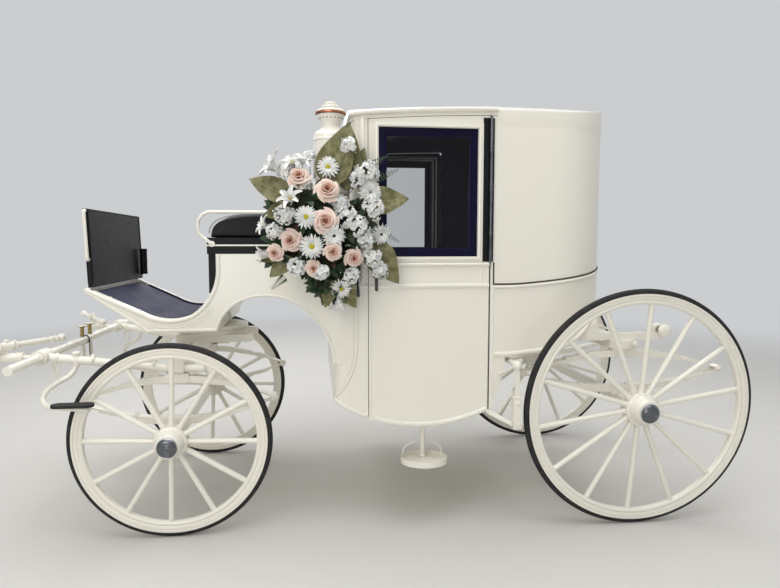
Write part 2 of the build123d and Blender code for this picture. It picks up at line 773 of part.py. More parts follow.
# reach behind the axle and height of the seat rail's route
seat_rail_route = [
    (176, seat_deck_height - 30), (112, seat_deck_height + 17), (112, 1509),
    (cab_front_setback, 1509),
]
with BuildPart() as grab_rails:
    for side_name, side in sides:
        rail_x = dash_x + dash_thickness / 2
        rail_y = side * (dash_half_width + rail_radius + dash_rail_gap)
        dash_edge = side * dash_half_width
        with BuildLine() as rail_path:
            FilletPolyline(
                (rail_x + 0.3 * dash_lean, dash_edge, dash_rail_low),
                (rail_x + 0.3 * dash_lean, rail_y, dash_rail_low),
                (rail_x + dash_lean, rail_y, dash_rail_high),
                (rail_x + dash_lean, dash_edge, dash_rail_high), radius=rail_radius + 3)
        with BuildSketch(Plane(origin=rail_path.line @ 0, z_dir=rail_path.line % 0)):
            Circle(rail_radius)
        sweep(path=rail_path.line)
        rail_y = side * (half_boot + rail_radius + 1)
        with BuildLine() as rail_path:
            FilletPolyline([(behind(setback), rail_y, level) for setback, level in seat_rail_route],
                           radius=62)
        with BuildSketch(Plane(origin=rail_path.line @ 0, z_dir=rail_path.line % 0)):
            Circle(rail_radius)
        sweep(path=rail_path.line)
        with BuildSketch(Plane.XZ.offset(-side * (half_boot + rail_radius / 2 + 0.5))):
            with Locations((behind(175), seat_deck_height - 30)):
                Circle(14)
        extrude(amount=rail_radius / 2 + 0.5, both=True)
    add(dashboard.part, mode=Mode.SUBTRACT)
grab_rails.part.label = "grab_rails"
export_step(grab_rails.part, "parts/grab_rails.step")

# Turntable: an upper ring fixed under the footboard with the king pin, and a
# lower ring that turns on it with the fore carriage.
turntable_x = behind(turntable_setback)
upper_ring_height = boot_bottom_height - 11 - turntable_plate
lower_ring_height = upper_ring_height - turntable_gap - turntable_plate

with BuildPart() as turntable_upper:
    with BuildSketch(Plane.XY.offset(upper_ring_height)):
        with Locations((turntable_x, 0)):
            Circle(turntable_radius)
            Circle(turntable_bore, mode=Mode.SUBTRACT)
            Rectangle(2 * turntable_radius - 20, 60)
    extrude(amount=turntable_plate)
    with BuildSketch(Plane.XY.offset(upper_ring_height + turntable_plate)):
        with Locations((turntable_x + 60, 0)):
            Rectangle(240, 60)
            with Locations((0, 150), (0, -150)):
                Rectangle(150, 40)
    extrude(amount=boot_bottom_height - upper_ring_height - turntable_plate)
    with BuildSketch(Plane.XY.offset(lower_ring_height - 60)):
        with Locations((turntable_x, 0)):
            Circle(king_pin_radius)
    extrude(amount=upper_ring_height - lower_ring_height + 60)
turntable_upper.part.label = "turntable_upper"
export_step(turntable_upper.part, "parts/turntable_upper.step")

with BuildPart() as turntable_lower:
    with BuildSketch(Plane.XY.offset(lower_ring_height)):
        with Locations((turntable_x, 0)):
            Circle(turntable_radius)
            Circle(turntable_bore, mode=Mode.SUBTRACT)
            Rectangle(60, 2 * turntable_radius - 20)
            Circle(king_pin_radius + pin_clearance, mode=Mode.SUBTRACT)
    extrude(amount=turntable_plate)
turntable_lower.part.label = "turntable_lower"
export_step(turntable_lower.part, "parts/turntable_lower.step")

# Fore carriage: the bed across the front springs, two bars under the
# turntable, and the tubular futchells that run out to the splinter bar.
bed_half_length = 470
bed_depth = 70
bar_half_spacing = 150
bar_front_reach = 60
bar_rear_setback = 330
bar_depth = 38
futchell_radius = 20
futchell_height = spring_top["front"] + futchell_radius
collar_radius = 32
collar_length = 90
neck_radius = 9
barrel_radius = 20
tree_pin_radius = 7
single_tree_height = splinter_bar_height + barrel_radius + single_tree_radius + 18

with BuildPart() as fore_carriage:
    with BuildSketch(Plane.YZ.offset(front_axle_x)):
        with Locations((0, spring_top["front"] + (lower_ring_height - bar_depth - spring_top["front"]) / 2)):
            RectangleRounded(2 * bed_half_length, lower_ring_height - bar_depth - spring_top["front"], 12)
    extrude(amount=bed_depth / 2, both=True)
    with BuildSketch(Plane.XY.offset(lower_ring_height - bar_depth)):
        for side_name, side in sides:
            with Locations((behind((bar_rear_setback - bar_front_reach) / 2), side * bar_half_spacing)):
                Rectangle(bar_rear_setback + bar_front_reach, 44)
    extrude(amount=bar_depth)
    for side_name, side in sides:
        socket = Vector(behind(-splinter_bar_reach), side * socket_half_spacing, splinter_bar_height)
        over_spring = Vector(front_axle_x + 20, side * front_spring_spacing, futchell_height)
        run = over_spring - socket
        with BuildSketch(Plane(origin=socket, z_dir=run)):
            Circle(futchell_radius)
        extrude(amount=run.length)
        with BuildSketch(Plane.YZ.offset(over_spring.X + 10)):
            with Locations((over_spring.Y, over_spring.Z)):
                Circle(futchell_radius)
        extrude(amount=-160)
        with BuildSketch(Plane.XZ.offset(-socket.Y)):
            with Locations((socket.X, socket.Z)):
                Circle(collar_radius)
        extrude(amount=collar_length / 2, both=True)
        with BuildSketch(Plane.YZ.offset(socket.X)):
            with Locations((socket.Y, socket.Z)):
                Circle(neck_radius)
        extrude(amount=single_tree_lead)
        with BuildSketch(Plane.YZ.offset(socket.X + 80)):
            with Locations((socket.Y, socket.Z)):
                Circle(barrel_radius)
        extrude(amount=single_tree_lead - 50)
        with BuildSketch(Plane.XY.offset(socket.Z)):
            with Locations((behind(-single_tree_station), socket.Y)):
                Circle(tree_pin_radius)
        extrude(amount=single_tree_height - splinter_bar_height + single_tree_radius + 12)
    with BuildSketch(Plane.XZ):
        with Locations((behind(-splinter_bar_reach), splinter_bar_height)):
            Circle(splinter_bar_radius)
    extrude(amount=splinter_bar_length, both=True, mode=Mode.SUBTRACT)
fore_carriage.part.label = "fore_carriage"
export_step(fore_carriage.part, "parts/fore_carriage.step")

# Splinter bar: one steel tube through both collars, turned down a little at
# its two free ends, with two roller bolts either side of its middle.
roller_half_spacing = 55
roller_radius = 13
roller_length = 50
stem_radius = 9
cap_disc_radius = 27
cap_disc_depth = 6

bolt_x = behind(-splinter_bar_reach)
roller_low = splinter_bar_height + splinter_bar_radius + 1
with BuildPart() as splinter_bar:
    with BuildSketch(Plane.XZ):
        with Locations((bolt_x, splinter_bar_height)):
            Circle(splinter_end_radius)
    extrude(amount=splinter_bar_length / 2, both=True)
    with BuildSketch(Plane.XZ):
        with Locations((bolt_x, splinter_bar_height)):
            Circle(splinter_bar_radius)
    extrude(amount=socket_half_spacing + collar_length / 2, both=True)
    for side_name, side in sides:
        with BuildSketch(Plane.XY.offset(splinter_bar_height - 78)):
            with Locations((bolt_x, side * roller_half_spacing)):
                Circle(stem_radius + 2)
        extrude(amount=78)
splinter_bar.part.label = "splinter_bar"
export_step(splinter_bar.part, "parts/splinter_bar.step")

with BuildPart() as roller_bolts:
    for side_name, side in sides:
        with BuildSketch(Plane.XY.offset(roller_low)):
            with Locations((bolt_x, side * roller_half_spacing)):
                Circle(roller_radius)
        extrude(amount=roller_length)
        with BuildSketch(Plane.XY.offset(roller_low + roller_length)):
            with Locations((bolt_x, side * roller_half_spacing)):
                Circle(cap_disc_radius)
        extrude(amount=cap_disc_depth)
roller_bolts.part.label = "roller_bolts"
export_step(roller_bolts.part, "parts/roller_bolts.step")

# Single trees: turned bars with ball ends that swing on the necks ahead of
# the collars.  They rest with their outer ends forward.
for side_name, side in sides:
    pivot = Vector(behind(-single_tree_station), side * socket_half_spacing, single_tree_height)
    turn = radians(single_tree_yaw)
    along = Vector(sin(turn), side * cos(turn), 0)
    with BuildPart() as single_tree:
        with BuildSketch(Plane(origin=pivot - along * (single_tree_length / 2), x_dir=(0, 0, 1), z_dir=along)):
            Circle(single_tree_radius)
        extrude(amount=single_tree_length)
        with BuildSketch(Plane(origin=pivot - along * 30, x_dir=(0, 0, 1), z_dir=along)):
            Circle(single_tree_radius + 6)
        extrude(amount=60)
        with Locations(pivot - along * (single_tree_length / 2), pivot + along * (single_tree_length / 2)):
            Sphere(single_tree_knob)
        with BuildSketch(Plane.XY.offset(single_tree_height - 40)):
            with Locations((pivot.X, pivot.Y)):
                Circle(tree_pin_radius + pin_clearance)
        extrude(amount=80, mode=Mode.SUBTRACT)
    single_tree.part.label = f"single_tree_{side_name}"
    export_step(single_tree.part, f"parts/single_tree_{side_name}.step")

# Driver's mounting steps: a bent rod hung from each futchell, with a rubber
# pad outside the wheel.
step_rod_radius = 11
pad_length = 180
pad_width = 62
pad_height = 650
pad_y = 672
pad_reach = 395
clamp_reach = 430
clamp_radius = 25
clamp_half_height = 32
clamp_y = 516
clamp_height = splinter_bar_height - 14
# reach ahead of the axle, distance out, height
step_rod_route = [
    (clamp_reach, clamp_y, clamp_height), (clamp_reach + 4, 526, clamp_height - 62),
    (clamp_reach + 70, 552, clamp_height - 105), (clamp_reach + 128, 584, pad_height + 42),
    (clamp_reach + 104, 618, pad_height - 12), (pad_reach - 75, pad_y, pad_height - 12),
]

with BuildPart() as driver_step_rods:
    for side_name, side in sides:
        with BuildLine() as rod_path:
            FilletPolyline([(behind(-reach), side * out, level) for reach, out, level in step_rod_route],
                           radius=30)
        with BuildSketch(Plane(origin=rod_path.line @ 0, z_dir=rod_path.line % 0)):
            Circle(step_rod_radius)
        sweep(path=rod_path.line)
        with BuildSketch(Plane.XY.offset(clamp_height - clamp_half_height)):
            with Locations((behind(-clamp_reach), side * clamp_y)):
                Circle(clamp_radius)
        extrude(amount=2 * clamp_half_height)
    add(fore_carriage.part, mode=Mode.SUBTRACT)
driver_step_rods.part.label = "driver_step_rods"
export_step(driver_step_rods.part, "parts/driver_step_rods.step")

with BuildPart() as driver_step_pads:
    for side_name, side in sides:
        with BuildSketch(Plane.XY.offset(pad_height)):
            with Locations((behind(-pad_reach), side * pad_y)):
                SlotOverall(pad_length, pad_width)
        extrude(amount=12)
driver_step_pads.part.label = "driver_step_pads"
export_step(driver_step_pads.part, "parts/driver_step_pads.step")

# Rear gear: a round ended bolster across the rear springs and a pump handle
# bar over each spring, curving up under the body's tail.
bolster_half_length = 575
bolster_width = 140
bolster_depth = 40
pump_bar_height = 34
pump_bar_width = 30
pump_ball_radius = 34
pump_bar_front = 1910
pump_bar_rest = 120
pump_ball_setback = 2410
bolster_top = spring_top["rear"] + bolster_depth

with BuildPart() as rear_bolster:
    with BuildSketch(Plane.XY.offset(spring_top["rear"])):
        with Locations((rear_axle_x, 0)):
            SlotOverall(2 * bolster_half_length, bolster_width, rotation=90)
    extrude(amount=bolster_depth)
rear_bolster.part.label = "rear_bolster"
export_step(rear_bolster.part, "parts/rear_bolster.step")

with BuildPart() as pump_handles:
    for side_name, side in sides:
        with BuildSketch(Plane.XZ.offset(-side * rear_spring_spacing)):
            with BuildLine():
                Polyline(
                    (behind(pump_bar_front), bolster_top), (behind(pump_bar_front), waist_height),
                    (behind(pump_bar_front + pump_bar_rest), waist_height),
                    (behind(pump_bar_front + pump_bar_rest + 45), bolster_top + pump_bar_height),
                    (behind(pump_ball_setback), bolster_top + pump_bar_height),
                    (behind(pump_ball_setback), bolster_top), close=True)
            make_face()
            make_face(lower_profile(0), mode=Mode.SUBTRACT)
        extrude(amount=pump_bar_width / 2, both=True)
        with Locations((behind(pump_ball_setback), side * rear_spring_spacing,
                        bolster_top + pump_bar_height + 10)):
            Sphere(pump_ball_radius)
pump_handles.part.label = "pump_handles"
export_step(pump_handles.part, "parts/pump_handles.step")

# Brake: a cross shaft under the tail with a hanging arm and a block in front
# of each rear tyre.
brake_shaft_setback = 1620
brake_shaft_height = 760
brake_block_gap = 8
brake_block_depth = 55
brake_block_low = 455
brake_block_high = 620
brake_block_y = rear_track / 2
with BuildPart() as brake_gear:
    with BuildSketch(Plane.XZ):
        with Locations((behind(brake_shaft_setback), brake_shaft_height)):
            Circle(14)
    extrude(amount=brake_block_y - 30, both=True)
    for side_name, side in sides:
        with Locations((behind(brake_shaft_setback), side * (brake_block_y - 30), brake_shaft_height)):
            Sphere(20)
        with BuildSketch(Plane.XZ.offset(-side * (brake_block_y - 30))):
            with BuildLine():
                Polyline(
                    (behind(brake_shaft_setback - 10), brake_shaft_height),
                    (behind(brake_shaft_setback + 10), brake_shaft_height),
                    (behind(wheelbase - rear_wheel_radius - brake_block_gap - brake_block_depth + 20),
                     brake_block_high - 20),
                    (behind(wheelbase - rear_wheel_radius - brake_block_gap - brake_block_depth),
                     brake_block_high - 20), close=True)
            make_face()
        extrude(amount=8, both=True)
        with BuildSketch(Plane.XZ.offset(-side * (brake_block_y - 14))):
            with Locations((behind(wheelbase - rear_wheel_radius - brake_block_gap - brake_block_depth / 2),
                            (brake_block_low + brake_block_high) / 2)):
                Rectangle(brake_block_depth, brake_block_high - brake_block_low)
        extrude(amount=26, both=True)
        with BuildSketch(Plane.XY.offset(brake_shaft_height)):
            with Locations((behind(brake_shaft_setback), side * 430)):
                Rectangle(30, 16)
        extrude(amount=tail_height - brake_shaft_height)
brake_gear.part.label = "brake_gear"
export_step(brake_gear.part, "parts/brake_gear.step")

# Door steps: a rimmed oval plate on a stem with a hoop behind it.
step_setback = 1180
step_y = 560
step_height = 300
step_length = 228
step_width = 200
stem_y = 520
with BuildPart() as door_steps:
    for side_name, side in sides:
        with BuildSketch(Plane.XY.offset(step_height)):
            with Locations((behind(step_setback), side * step_y)):
                Ellipse(step_length / 2, step_width / 2)
        extrude(amount=26)
        with BuildSketch(Plane.XY.offset(step_height + 10)):
            with Locations((behind(step_setback), side * step_y)):
                Ellipse(step_length / 2 - 7, step_width / 2 - 7)
        extrude(amount=30, mode=Mode.SUBTRACT)
        with BuildSketch(Plane.XY.offset(step_height)):
            with Locations((behind(step_setback), side * stem_y)):
                Circle(12)
        extrude(amount=260)
    add(lower_body.part, mode=Mode.SUBTRACT)
    add(lower_room.part, mode=Mode.SUBTRACT)
door_steps.part.label = "door_steps"
export_step(door_steps.part, "parts/door_steps.step")

# Lamps: round lanterns on a bracket from each front corner pillar.
lamp_setback = 736
lamp_y = 640
lamp_body_radius = 78
lamp_low = 1560
lamp_top = 1984
with BuildPart() as lamps:
    for side_name, side in sides:
        with BuildSketch(Plane(origin=(behind(lamp_setback), side * lamp_y, 0), x_dir=(1, 0, 0), z_dir=(0, -1, 0))):
            with BuildLine():
                Polyline(
                    (0, lamp_low - 120), (16, lamp_low - 110), (16, lamp_low - 10), (60, lamp_low),
                    (lamp_body_radius, lamp_low + 20), (lamp_body_radius, 1838), (66, 1850), (44, 1862),
                    (40, 1900), (44, 1924), (70, 1930), (70, 1938), (48, 1950), (30, 1958), (16, 1966),
                    (12, lamp_top), (0, lamp_top), close=True)
            make_face()
        revolve(axis=Axis((behind(lamp_setback), side * lamp_y, 0), (0, 0, 1)))
        with BuildSketch(Plane.XY.offset(1640)):
            with Locations((behind((lamp_setback + cab_front_setback + 40) / 2), side * (half_body - 10))):
                Rectangle(cab_front_setback + 40 - lamp_setback, 30)
        extrude(amount=40)
    add(front_wall.part, mode=Mode.SUBTRACT)
lamps.part.label = "lamps"
export_step(lamps.part, "parts/lamps.step")

# Bouquets: the space that the tied flowers fill, against the lamp, the pillar
# and the side of the boot, and clear of the door.
# setback, distance out, height, radius
bouquet_table = [
    (620, 640, 1500, 190),
    (700, 640, 1320, 180),
    (560, 600, 1330, 170),
    (720, 640, 1180, 110),
]
with BuildPart() as bouquets:
    for side_name, side in sides:
        for setback, out, height, radius in bouquet_table:
            with Locations((behind(setback), side * out, height)):
                Sphere(radius)
        with BuildSketch(Plane.XY.offset(boot_bottom_height)):
            with Locations((behind(door_front_setback - door_gap + 500), side * half_body)):
                Rectangle(1000, body_width)
        extrude(amount=roof_side_height, mode=Mode.SUBTRACT)
    add(boot.part, mode=Mode.SUBTRACT)
    add(cab_block.part, mode=Mode.SUBTRACT)
    add(seat_base.part, mode=Mode.SUBTRACT)
    add(driver_cushion.part, mode=Mode.SUBTRACT)
    add(grab_rails.part, mode=Mode.SUBTRACT)
    add(pillar_handles.part, mode=Mode.SUBTRACT)
    add(lamps.part, mode=Mode.SUBTRACT)
bouquets.part.label = "bouquets"
export_step(bouquets.part, "parts/bouquets.step")

# Cab seat: a bench across the tail with a cushion and a back cushion.
bench_front_setback = 1640
bench_height = 905
bench_cushion_depth = 110
lining_clearance = 6
with BuildPart() as cab_bench:
    with BuildSketch(Plane.XY):
        make_face(cab_plan(body_wall + lining_clearance, well_front_setback))
    extrude(amount=bench_height)
    with BuildSketch(Plane.XZ):
        make_face(lower_profile(body_wall + lining_clearance))
    extrude(amount=body_width, both=True, mode=Mode.INTERSECT)
    with BuildSketch(Plane.XY):
        with Locations((behind(bench_front_setback - body_rear_setback), 0)):
            Rectangle(2 * body_rear_setback, 2 * body_width)
    extrude(amount=roof_side_height, mode=Mode.SUBTRACT)
cab_bench.part.label = "cab_bench"
export_step(cab_bench.part, "parts/cab_bench.step")

with BuildPart() as cab_cushion:
    with BuildSketch(Plane.XY.offset(bench_height)):
        make_face(cab_plan(body_wall + lining_clearance, well_front_setback))
    extrude(amount=bench_cushion_depth)
    with BuildSketch(Plane.XZ):
        make_face(lower_profile(body_wall + lining_clearance))
    extrude(amount=body_width, both=True, mode=Mode.INTERSECT)
    with BuildSketch(Plane.XY):
        with Locations((behind(bench_front_setback - 20 - body_rear_setback), 0)):
            Rectangle(2 * body_rear_setback, 2 * body_width)
    extrude(amount=roof_side_height, mode=Mode.SUBTRACT)
cab_cushion.part.label = "cab_cushion"
export_step(cab_cushion.part, "parts/cab_cushion.step")

with BuildPart() as cab_back:
    with BuildSketch(Plane.XZ):
        with BuildLine():
            Polyline(
                (behind(1890), bench_height + bench_cushion_depth + 2),
                (behind(1965), bench_height + bench_cushion_depth + 2),
                (behind(2085), waist_height + 20), (behind(2100), 1470), (behind(2040), 1500),
                (behind(1975), 1460), (behind(1950), waist_height + 20), close=True)
        make_face()
    extrude(amount=half_body - 2 * body_wall, both=True)
    with BuildSketch(Plane.XY.offset(bench_height)):
        make_face(cab_plan(body_wall + lining_clearance, cab_front_setback))
    extrude(amount=roof_side_height, mode=Mode.INTERSECT)
cab_back.part.label = "cab_back"
export_step(cab_back.part, "parts/cab_back.step")
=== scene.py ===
import math
import random

import bmesh
import bpy
from mathutils import Matrix, Vector


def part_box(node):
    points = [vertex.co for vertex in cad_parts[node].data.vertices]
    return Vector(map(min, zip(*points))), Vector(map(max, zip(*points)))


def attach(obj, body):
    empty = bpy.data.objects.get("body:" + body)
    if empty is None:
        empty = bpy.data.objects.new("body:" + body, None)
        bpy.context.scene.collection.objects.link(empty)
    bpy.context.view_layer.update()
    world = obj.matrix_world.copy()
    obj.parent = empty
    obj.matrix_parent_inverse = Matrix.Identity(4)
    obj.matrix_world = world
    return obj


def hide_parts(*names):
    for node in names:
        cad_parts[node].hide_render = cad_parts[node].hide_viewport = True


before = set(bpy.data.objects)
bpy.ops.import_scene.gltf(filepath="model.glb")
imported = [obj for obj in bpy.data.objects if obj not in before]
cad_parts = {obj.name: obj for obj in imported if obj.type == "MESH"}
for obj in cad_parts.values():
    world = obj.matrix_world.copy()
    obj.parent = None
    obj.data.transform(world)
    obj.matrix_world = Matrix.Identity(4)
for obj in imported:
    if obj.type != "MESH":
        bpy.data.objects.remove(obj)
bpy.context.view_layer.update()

# Studio: the carriage stands on a plain pale floor under a wide soft sky, and
# the camera stands at its left side, a little over eye height to a seated
# passenger, as the photograph was taken.
front_axle = (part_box("tyre_front_left")[0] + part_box("tyre_front_left")[1]) / 2
camera_setback = 0.656
camera_distance = 3.434
camera_height = 1.358
camera_turn = 6.75
camera_tilt = 4.675
camera_lens = 28.26
camera_shift = 0.0045


def behind(setback):
    """Station along X of something that lies this far behind the front axle."""
    return front_axle.x - setback


def spot(setback, out, level):
    """Point behind the front axle, out to the left of the middle, and above the ground."""
    return Vector((behind(setback), out, level))


def linear(hex_colour):
    """An sRGB hex colour as the linear RGBA that a shader socket takes."""
    channels = [int(hex_colour[i:i + 2], 16) / 255 for i in (1, 3, 5)]
    return [c / 12.92 if c <= 0.04045 else ((c + 0.055) / 1.055) ** 2.4 for c in channels] + [1]


def add_node(tree, kind, inputs=None, **settings):
    """Adds a node with its settings, and sets or links its inputs by name or number."""
    added = tree.nodes.new(kind)
    for field, value in settings.items():
        setattr(added, field, value)
    for name, value in (inputs or {}).items():
        if isinstance(value, bpy.types.NodeSocket):
            tree.links.new(value, added.inputs[name])
        else:
            added.inputs[name].default_value = value
    return added


def new_material(name, surface):
    """A material whose surface shader has these constant values, with its tree and shader."""
    material = bpy.data.materials.new(name)
    material.use_nodes = True
    shader = material.node_tree.nodes["Principled BSDF"]
    for socket, value in surface.items():
        shader.inputs[socket].default_value = value
    return material, material.node_tree, shader


camera_data = bpy.data.cameras.new("camera")
camera_data.sensor_width = 36
camera_data.lens = camera_lens
camera_data.shift_x = camera_shift
camera = bpy.data.objects.new("camera", camera_data)
camera.location = (behind(camera_setback), camera_distance, camera_height)
camera.rotation_euler = (math.radians(90 - camera_tilt), 0, math.radians(180 - camera_turn))
bpy.context.scene.collection.objects.link(camera)
bpy.context.scene.camera = camera
bpy.context.scene.view_settings.view_transform = "Standard"

floor_colour = "#D2D0CC"
backdrop_colour = "#CBCDCF"
sweep_radius = 9.0
sweep_cove = 3.0
sweep_height = 13.0
pale_plaster, tree, shader = new_material("pale_floor_plaster", {
    "Base Color": linear(floor_colour), "Roughness": 0.9, "Specular IOR Level": 0.2})
# Far from the middle the sweep is seen, and mirrored, as plain grey paper that gives no light.
seen_point = add_node(tree, "ShaderNodeNewGeometry").outputs["Position"]
seen_from_middle = add_node(tree, "ShaderNodeVectorMath", {0: seen_point}, operation="LENGTH")
distance = add_node(tree, "ShaderNodeMapRange", {
    "Value": seen_from_middle.outputs["Value"], "From Min": 4.0, "From Max": 9.0}, interpolation_type="SMOOTHSTEP")
ray = add_node(tree, "ShaderNodeLightPath")
looked = add_node(tree, "ShaderNodeMath", {0: ray.outputs["Is Camera Ray"], 1: ray.outputs["Is Glossy Ray"]},
                  operation="MAXIMUM")
looked = add_node(tree, "ShaderNodeMath", {0: looked.outputs[0], 1: ray.outputs["Is Transmission Ray"]},
                  operation="MAXIMUM")
paper_share = add_node(tree, "ShaderNodeMath", {0: distance.outputs["Result"], 1: looked.outputs[0]},
                       operation="MULTIPLY")
paper = add_node(tree, "ShaderNodeEmission", {"Color": linear(backdrop_colour), "Strength": 1.0})
plaster_mix = add_node(tree, "ShaderNodeMixShader", {
    0: paper_share.outputs[0], 1: shader.outputs[0], 2: paper.outputs[0]})
tree.links.new(plaster_mix.outputs[0], tree.nodes["Material Output"].inputs["Surface"])
sweep_line = [(0.05, 0), (sweep_radius, 0)]
for k in range(1, 13):
    turn = math.pi / 2 * k / 12
    sweep_line.append((sweep_radius + sweep_cove * math.sin(turn), sweep_cove * (1 - math.cos(turn))))
sweep_line.append((sweep_radius + sweep_cove, sweep_height))
sweep_steps = 96
floor_points = [(r * math.cos(2 * math.pi * k / sweep_steps), r * math.sin(2 * math.pi * k / sweep_steps), z)
                for k in range(sweep_steps) for r, z in sweep_line]
row = len(sweep_line)
floor_faces = [tuple(((k + a) % sweep_steps) * row + i + b for a, b in ((0, 0), (1, 0), (1, 1), (0, 1)))
               for k in range(sweep_steps) for i in range(row - 1)]
floor_faces.append(tuple(k * row for k in reversed(range(sweep_steps))))
floor_mesh = bpy.data.meshes.new("studio_floor")
floor_mesh.from_pydata(floor_points, [], floor_faces)
for face in floor_mesh.polygons:
    face.use_smooth = True
floor_mesh.materials.append(pale_plaster)
floor = bpy.data.objects.new("studio_floor", floor_mesh)
bpy.context.scene.collection.objects.link(floor)

world = bpy.data.worlds.new("soft_sky")
bpy.context.scene.world = world
world.use_nodes = True
tree = world.node_tree
sky = tree.nodes["Background"]
sky.inputs["Color"].default_value = linear("#EEF2F6")
sky.inputs["Strength"].default_value = 0.7
seen_sky = add_node(tree, "ShaderNodeBackground", {"Color": linear("#F4F4F2"), "Strength": 1.0})
ray = add_node(tree, "ShaderNodeLightPath")
seen = add_node(tree, "ShaderNodeMixShader", {0: ray.outputs["Is Camera Ray"],
                                              1: sky.outputs[0], 2: seen_sky.outputs[0]})
tree.links.new(seen.outputs[0], tree.nodes["World Output"].inputs["Surface"])

# name, place, size, power, warmth
softboxes = [
    ("overhead", (0.0, 0.4, 5.4), 6.0, 250, "#FFFFFF"),
    ("key", (3.4, 5.6, 4.4), 3.6, 105, "#FFFBF2"),
    ("fill", (1.4, 6.2, 1.8), 2.6, 50, "#F8FAFF"),
    ("behind", (0.5, -5.6, 4.4), 4.0, 90, "#FFFFFF"),
]
for name, place, size, power, colour in softboxes:
    light_data = bpy.data.lights.new(name, "AREA")
    light_data.size = size
    light_data.energy = power
    light_data.color = linear(colour)[:3]
    light = bpy.data.objects.new(name, light_data)
    light.location = place
    light.rotation_euler = (Vector((0, 0, 1)) - Vector(place)).to_track_quat("-Z", "Y").to_euler()
    bpy.context.scene.collection.objects.link(light)

# Wheels: ash spokes and bent felloes on a turned hub, all in the coach's ivory
# enamel, with a solid rubber tyre held in a steel channel and a polished steel
# cap screwed over the axle nut.
sides = (("left", 1), ("right", -1))
spoke_counts = {"front": 12, "rear": 14}
spoke_phase = {"front": 2, "rear": 4}
flange_radius = {"front": 0.074, "rear": 0.08}
nose_radius = {"front": 0.052, "rear": 0.056}
wheel_camber = math.radians(2.2)
tyre_depth = 0.025
tyre_half_width = 0.015
felloe_depth = 0.048
felloe_half_width = 0.018
cap_foot = 0.0918
round_steps = 128


def pattern(tree, kind, inputs, reads="Fac", **settings):
    """Height of a texture laid out in the piece's own coordinates."""
    place = add_node(tree, "ShaderNodeTexCoord").outputs["Object"]
    return add_node(tree, "ShaderNodeTex" + kind, {"Vector": place, **inputs}, **settings).outputs[reads]


def carry(tree, shader, height, colours=None, span=(0, 1), rough=None, bump=None):
    """Lets a pattern's height carry a finish's colour, its roughness range and its relief (strength, depth)."""
    if colours:
        ramp = add_node(tree, "ShaderNodeValToRGB", {"Fac": height})
        for stop, colour, position in zip(ramp.color_ramp.elements, colours, span):
            stop.position = position
            stop.color = linear(colour)
        tree.links.new(ramp.outputs["Color"], shader.inputs["Base Color"])
    if rough:
        spread = add_node(tree, "ShaderNodeMapRange", {"Value": height, "To Min": rough[0], "To Max": rough[1]})
        tree.links.new(spread.outputs["Result"], shader.inputs["Roughness"])
    if bump:
        relief = add_node(tree, "ShaderNodeBump", {"Height": height, "Strength": bump[0], "Distance": bump[1]})
        tree.links.new(relief.outputs["Normal"], shader.inputs["Normal"])


# Enamel: several brushed and rubbed coats of warm ivory under clear varnish.
# It shines softly, ripples faintly like orange peel, and yellows in patches.
ivory_light = "#F0EDE2"
ivory_deep = "#EEEADE"
peel_per_metre = 260
ivory_enamel, tree, shader = new_material("ivory_coach_enamel", {
    "IOR": 1.5, "Coat Weight": 0.45, "Coat Roughness": 0.08})
patches = pattern(tree, "Noise", {"Scale": 2.2, "Detail": 3})
carry(tree, shader, patches, (ivory_deep, ivory_light), (0.2, 0.8))
carry(tree, shader, pattern(tree, "Noise", {"Scale": 9, "Detail": 2}), rough=(0.27, 0.3))
carry(tree, shader, pattern(tree, "Noise", {"Scale": peel_per_metre, "Detail": 1}), bump=(0.12, 0.0004))

# Tyre rubber: black, moulded smooth, dulled by dry dust on the tread.
tyre_rubber, tree, shader = new_material("moulded_tyre_rubber", {"IOR": 1.52, "Specular IOR Level": 0.35})
dust = pattern(tree, "Noise", {"Scale": 38, "Detail": 6, "Roughness": 0.7})
carry(tree, shader, dust, ("#16161A", "#3A3836"), (0.42, 0.78), rough=(0.5, 0.85))

# Cap steel: turned and polished bright, darkened by its reflections, with the
# fine rings that the lathe leaves.
cap_steel, tree, shader = new_material("polished_cap_steel", {
    "Base Color": linear("#6C6E73"), "Metallic": 1, "Roughness": 0.22})
rings = pattern(tree, "Wave", {"Scale": 90, "Distortion": 0.4}, wave_type="RINGS", rings_direction="Z")
carry(tree, shader, rings, bump=(0.25, 0.0003))
rim_steel = cap_steel.copy()
rim_steel.name = "bright_rim_steel"
rim_steel.node_tree.nodes["Principled BSDF"].inputs["Base Color"].default_value = linear("#C4C5C8")


def build(name, mesh_maker, material, body, node=None, smooth_angle=35):
    """A piece that rides on a body, may replace a CAD node, and wears the finish it is given."""
    mesh = bpy.data.meshes.new(name)
    maker = bmesh.new()
    mesh_maker(maker)
    bmesh.ops.remove_doubles(maker, verts=maker.verts, dist=1e-6)
    bmesh.ops.recalc_face_normals(maker, faces=maker.faces)
    for edge in maker.edges:
        if len(edge.link_faces) == 2:
            edge.smooth = edge.calc_face_angle(0) < math.radians(smooth_angle)
    for face in maker.faces:
        face.smooth = True
    maker.to_mesh(mesh)
    maker.free()
    mesh.materials.append(material)
    piece = bpy.data.objects.new(name, mesh)
    bpy.context.scene.collection.objects.link(piece)
    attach(piece, body)
    if node:
        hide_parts(node)
    return piece


def join_rings(maker, rings, closed_ring=True, closed_run=False, caps=True):
    """Skins a run of equal rings of points."""
    made = [[maker.verts.new(point) for point in ring] for ring in rings]
    count = len(made[0])
    runs = len(made) if closed_run else len(made) - 1
    for i in range(runs):
        low, high = made[i], made[(i + 1) % len(made)]
        for k in range(count if closed_ring else count - 1):
            maker.faces.new((low[k], low[(k + 1) % count], high[(k + 1) % count], high[k]))
    if caps and not closed_run and closed_ring:
        maker.faces.new(list(reversed(made[0])))
        maker.faces.new(made[-1])
    return made


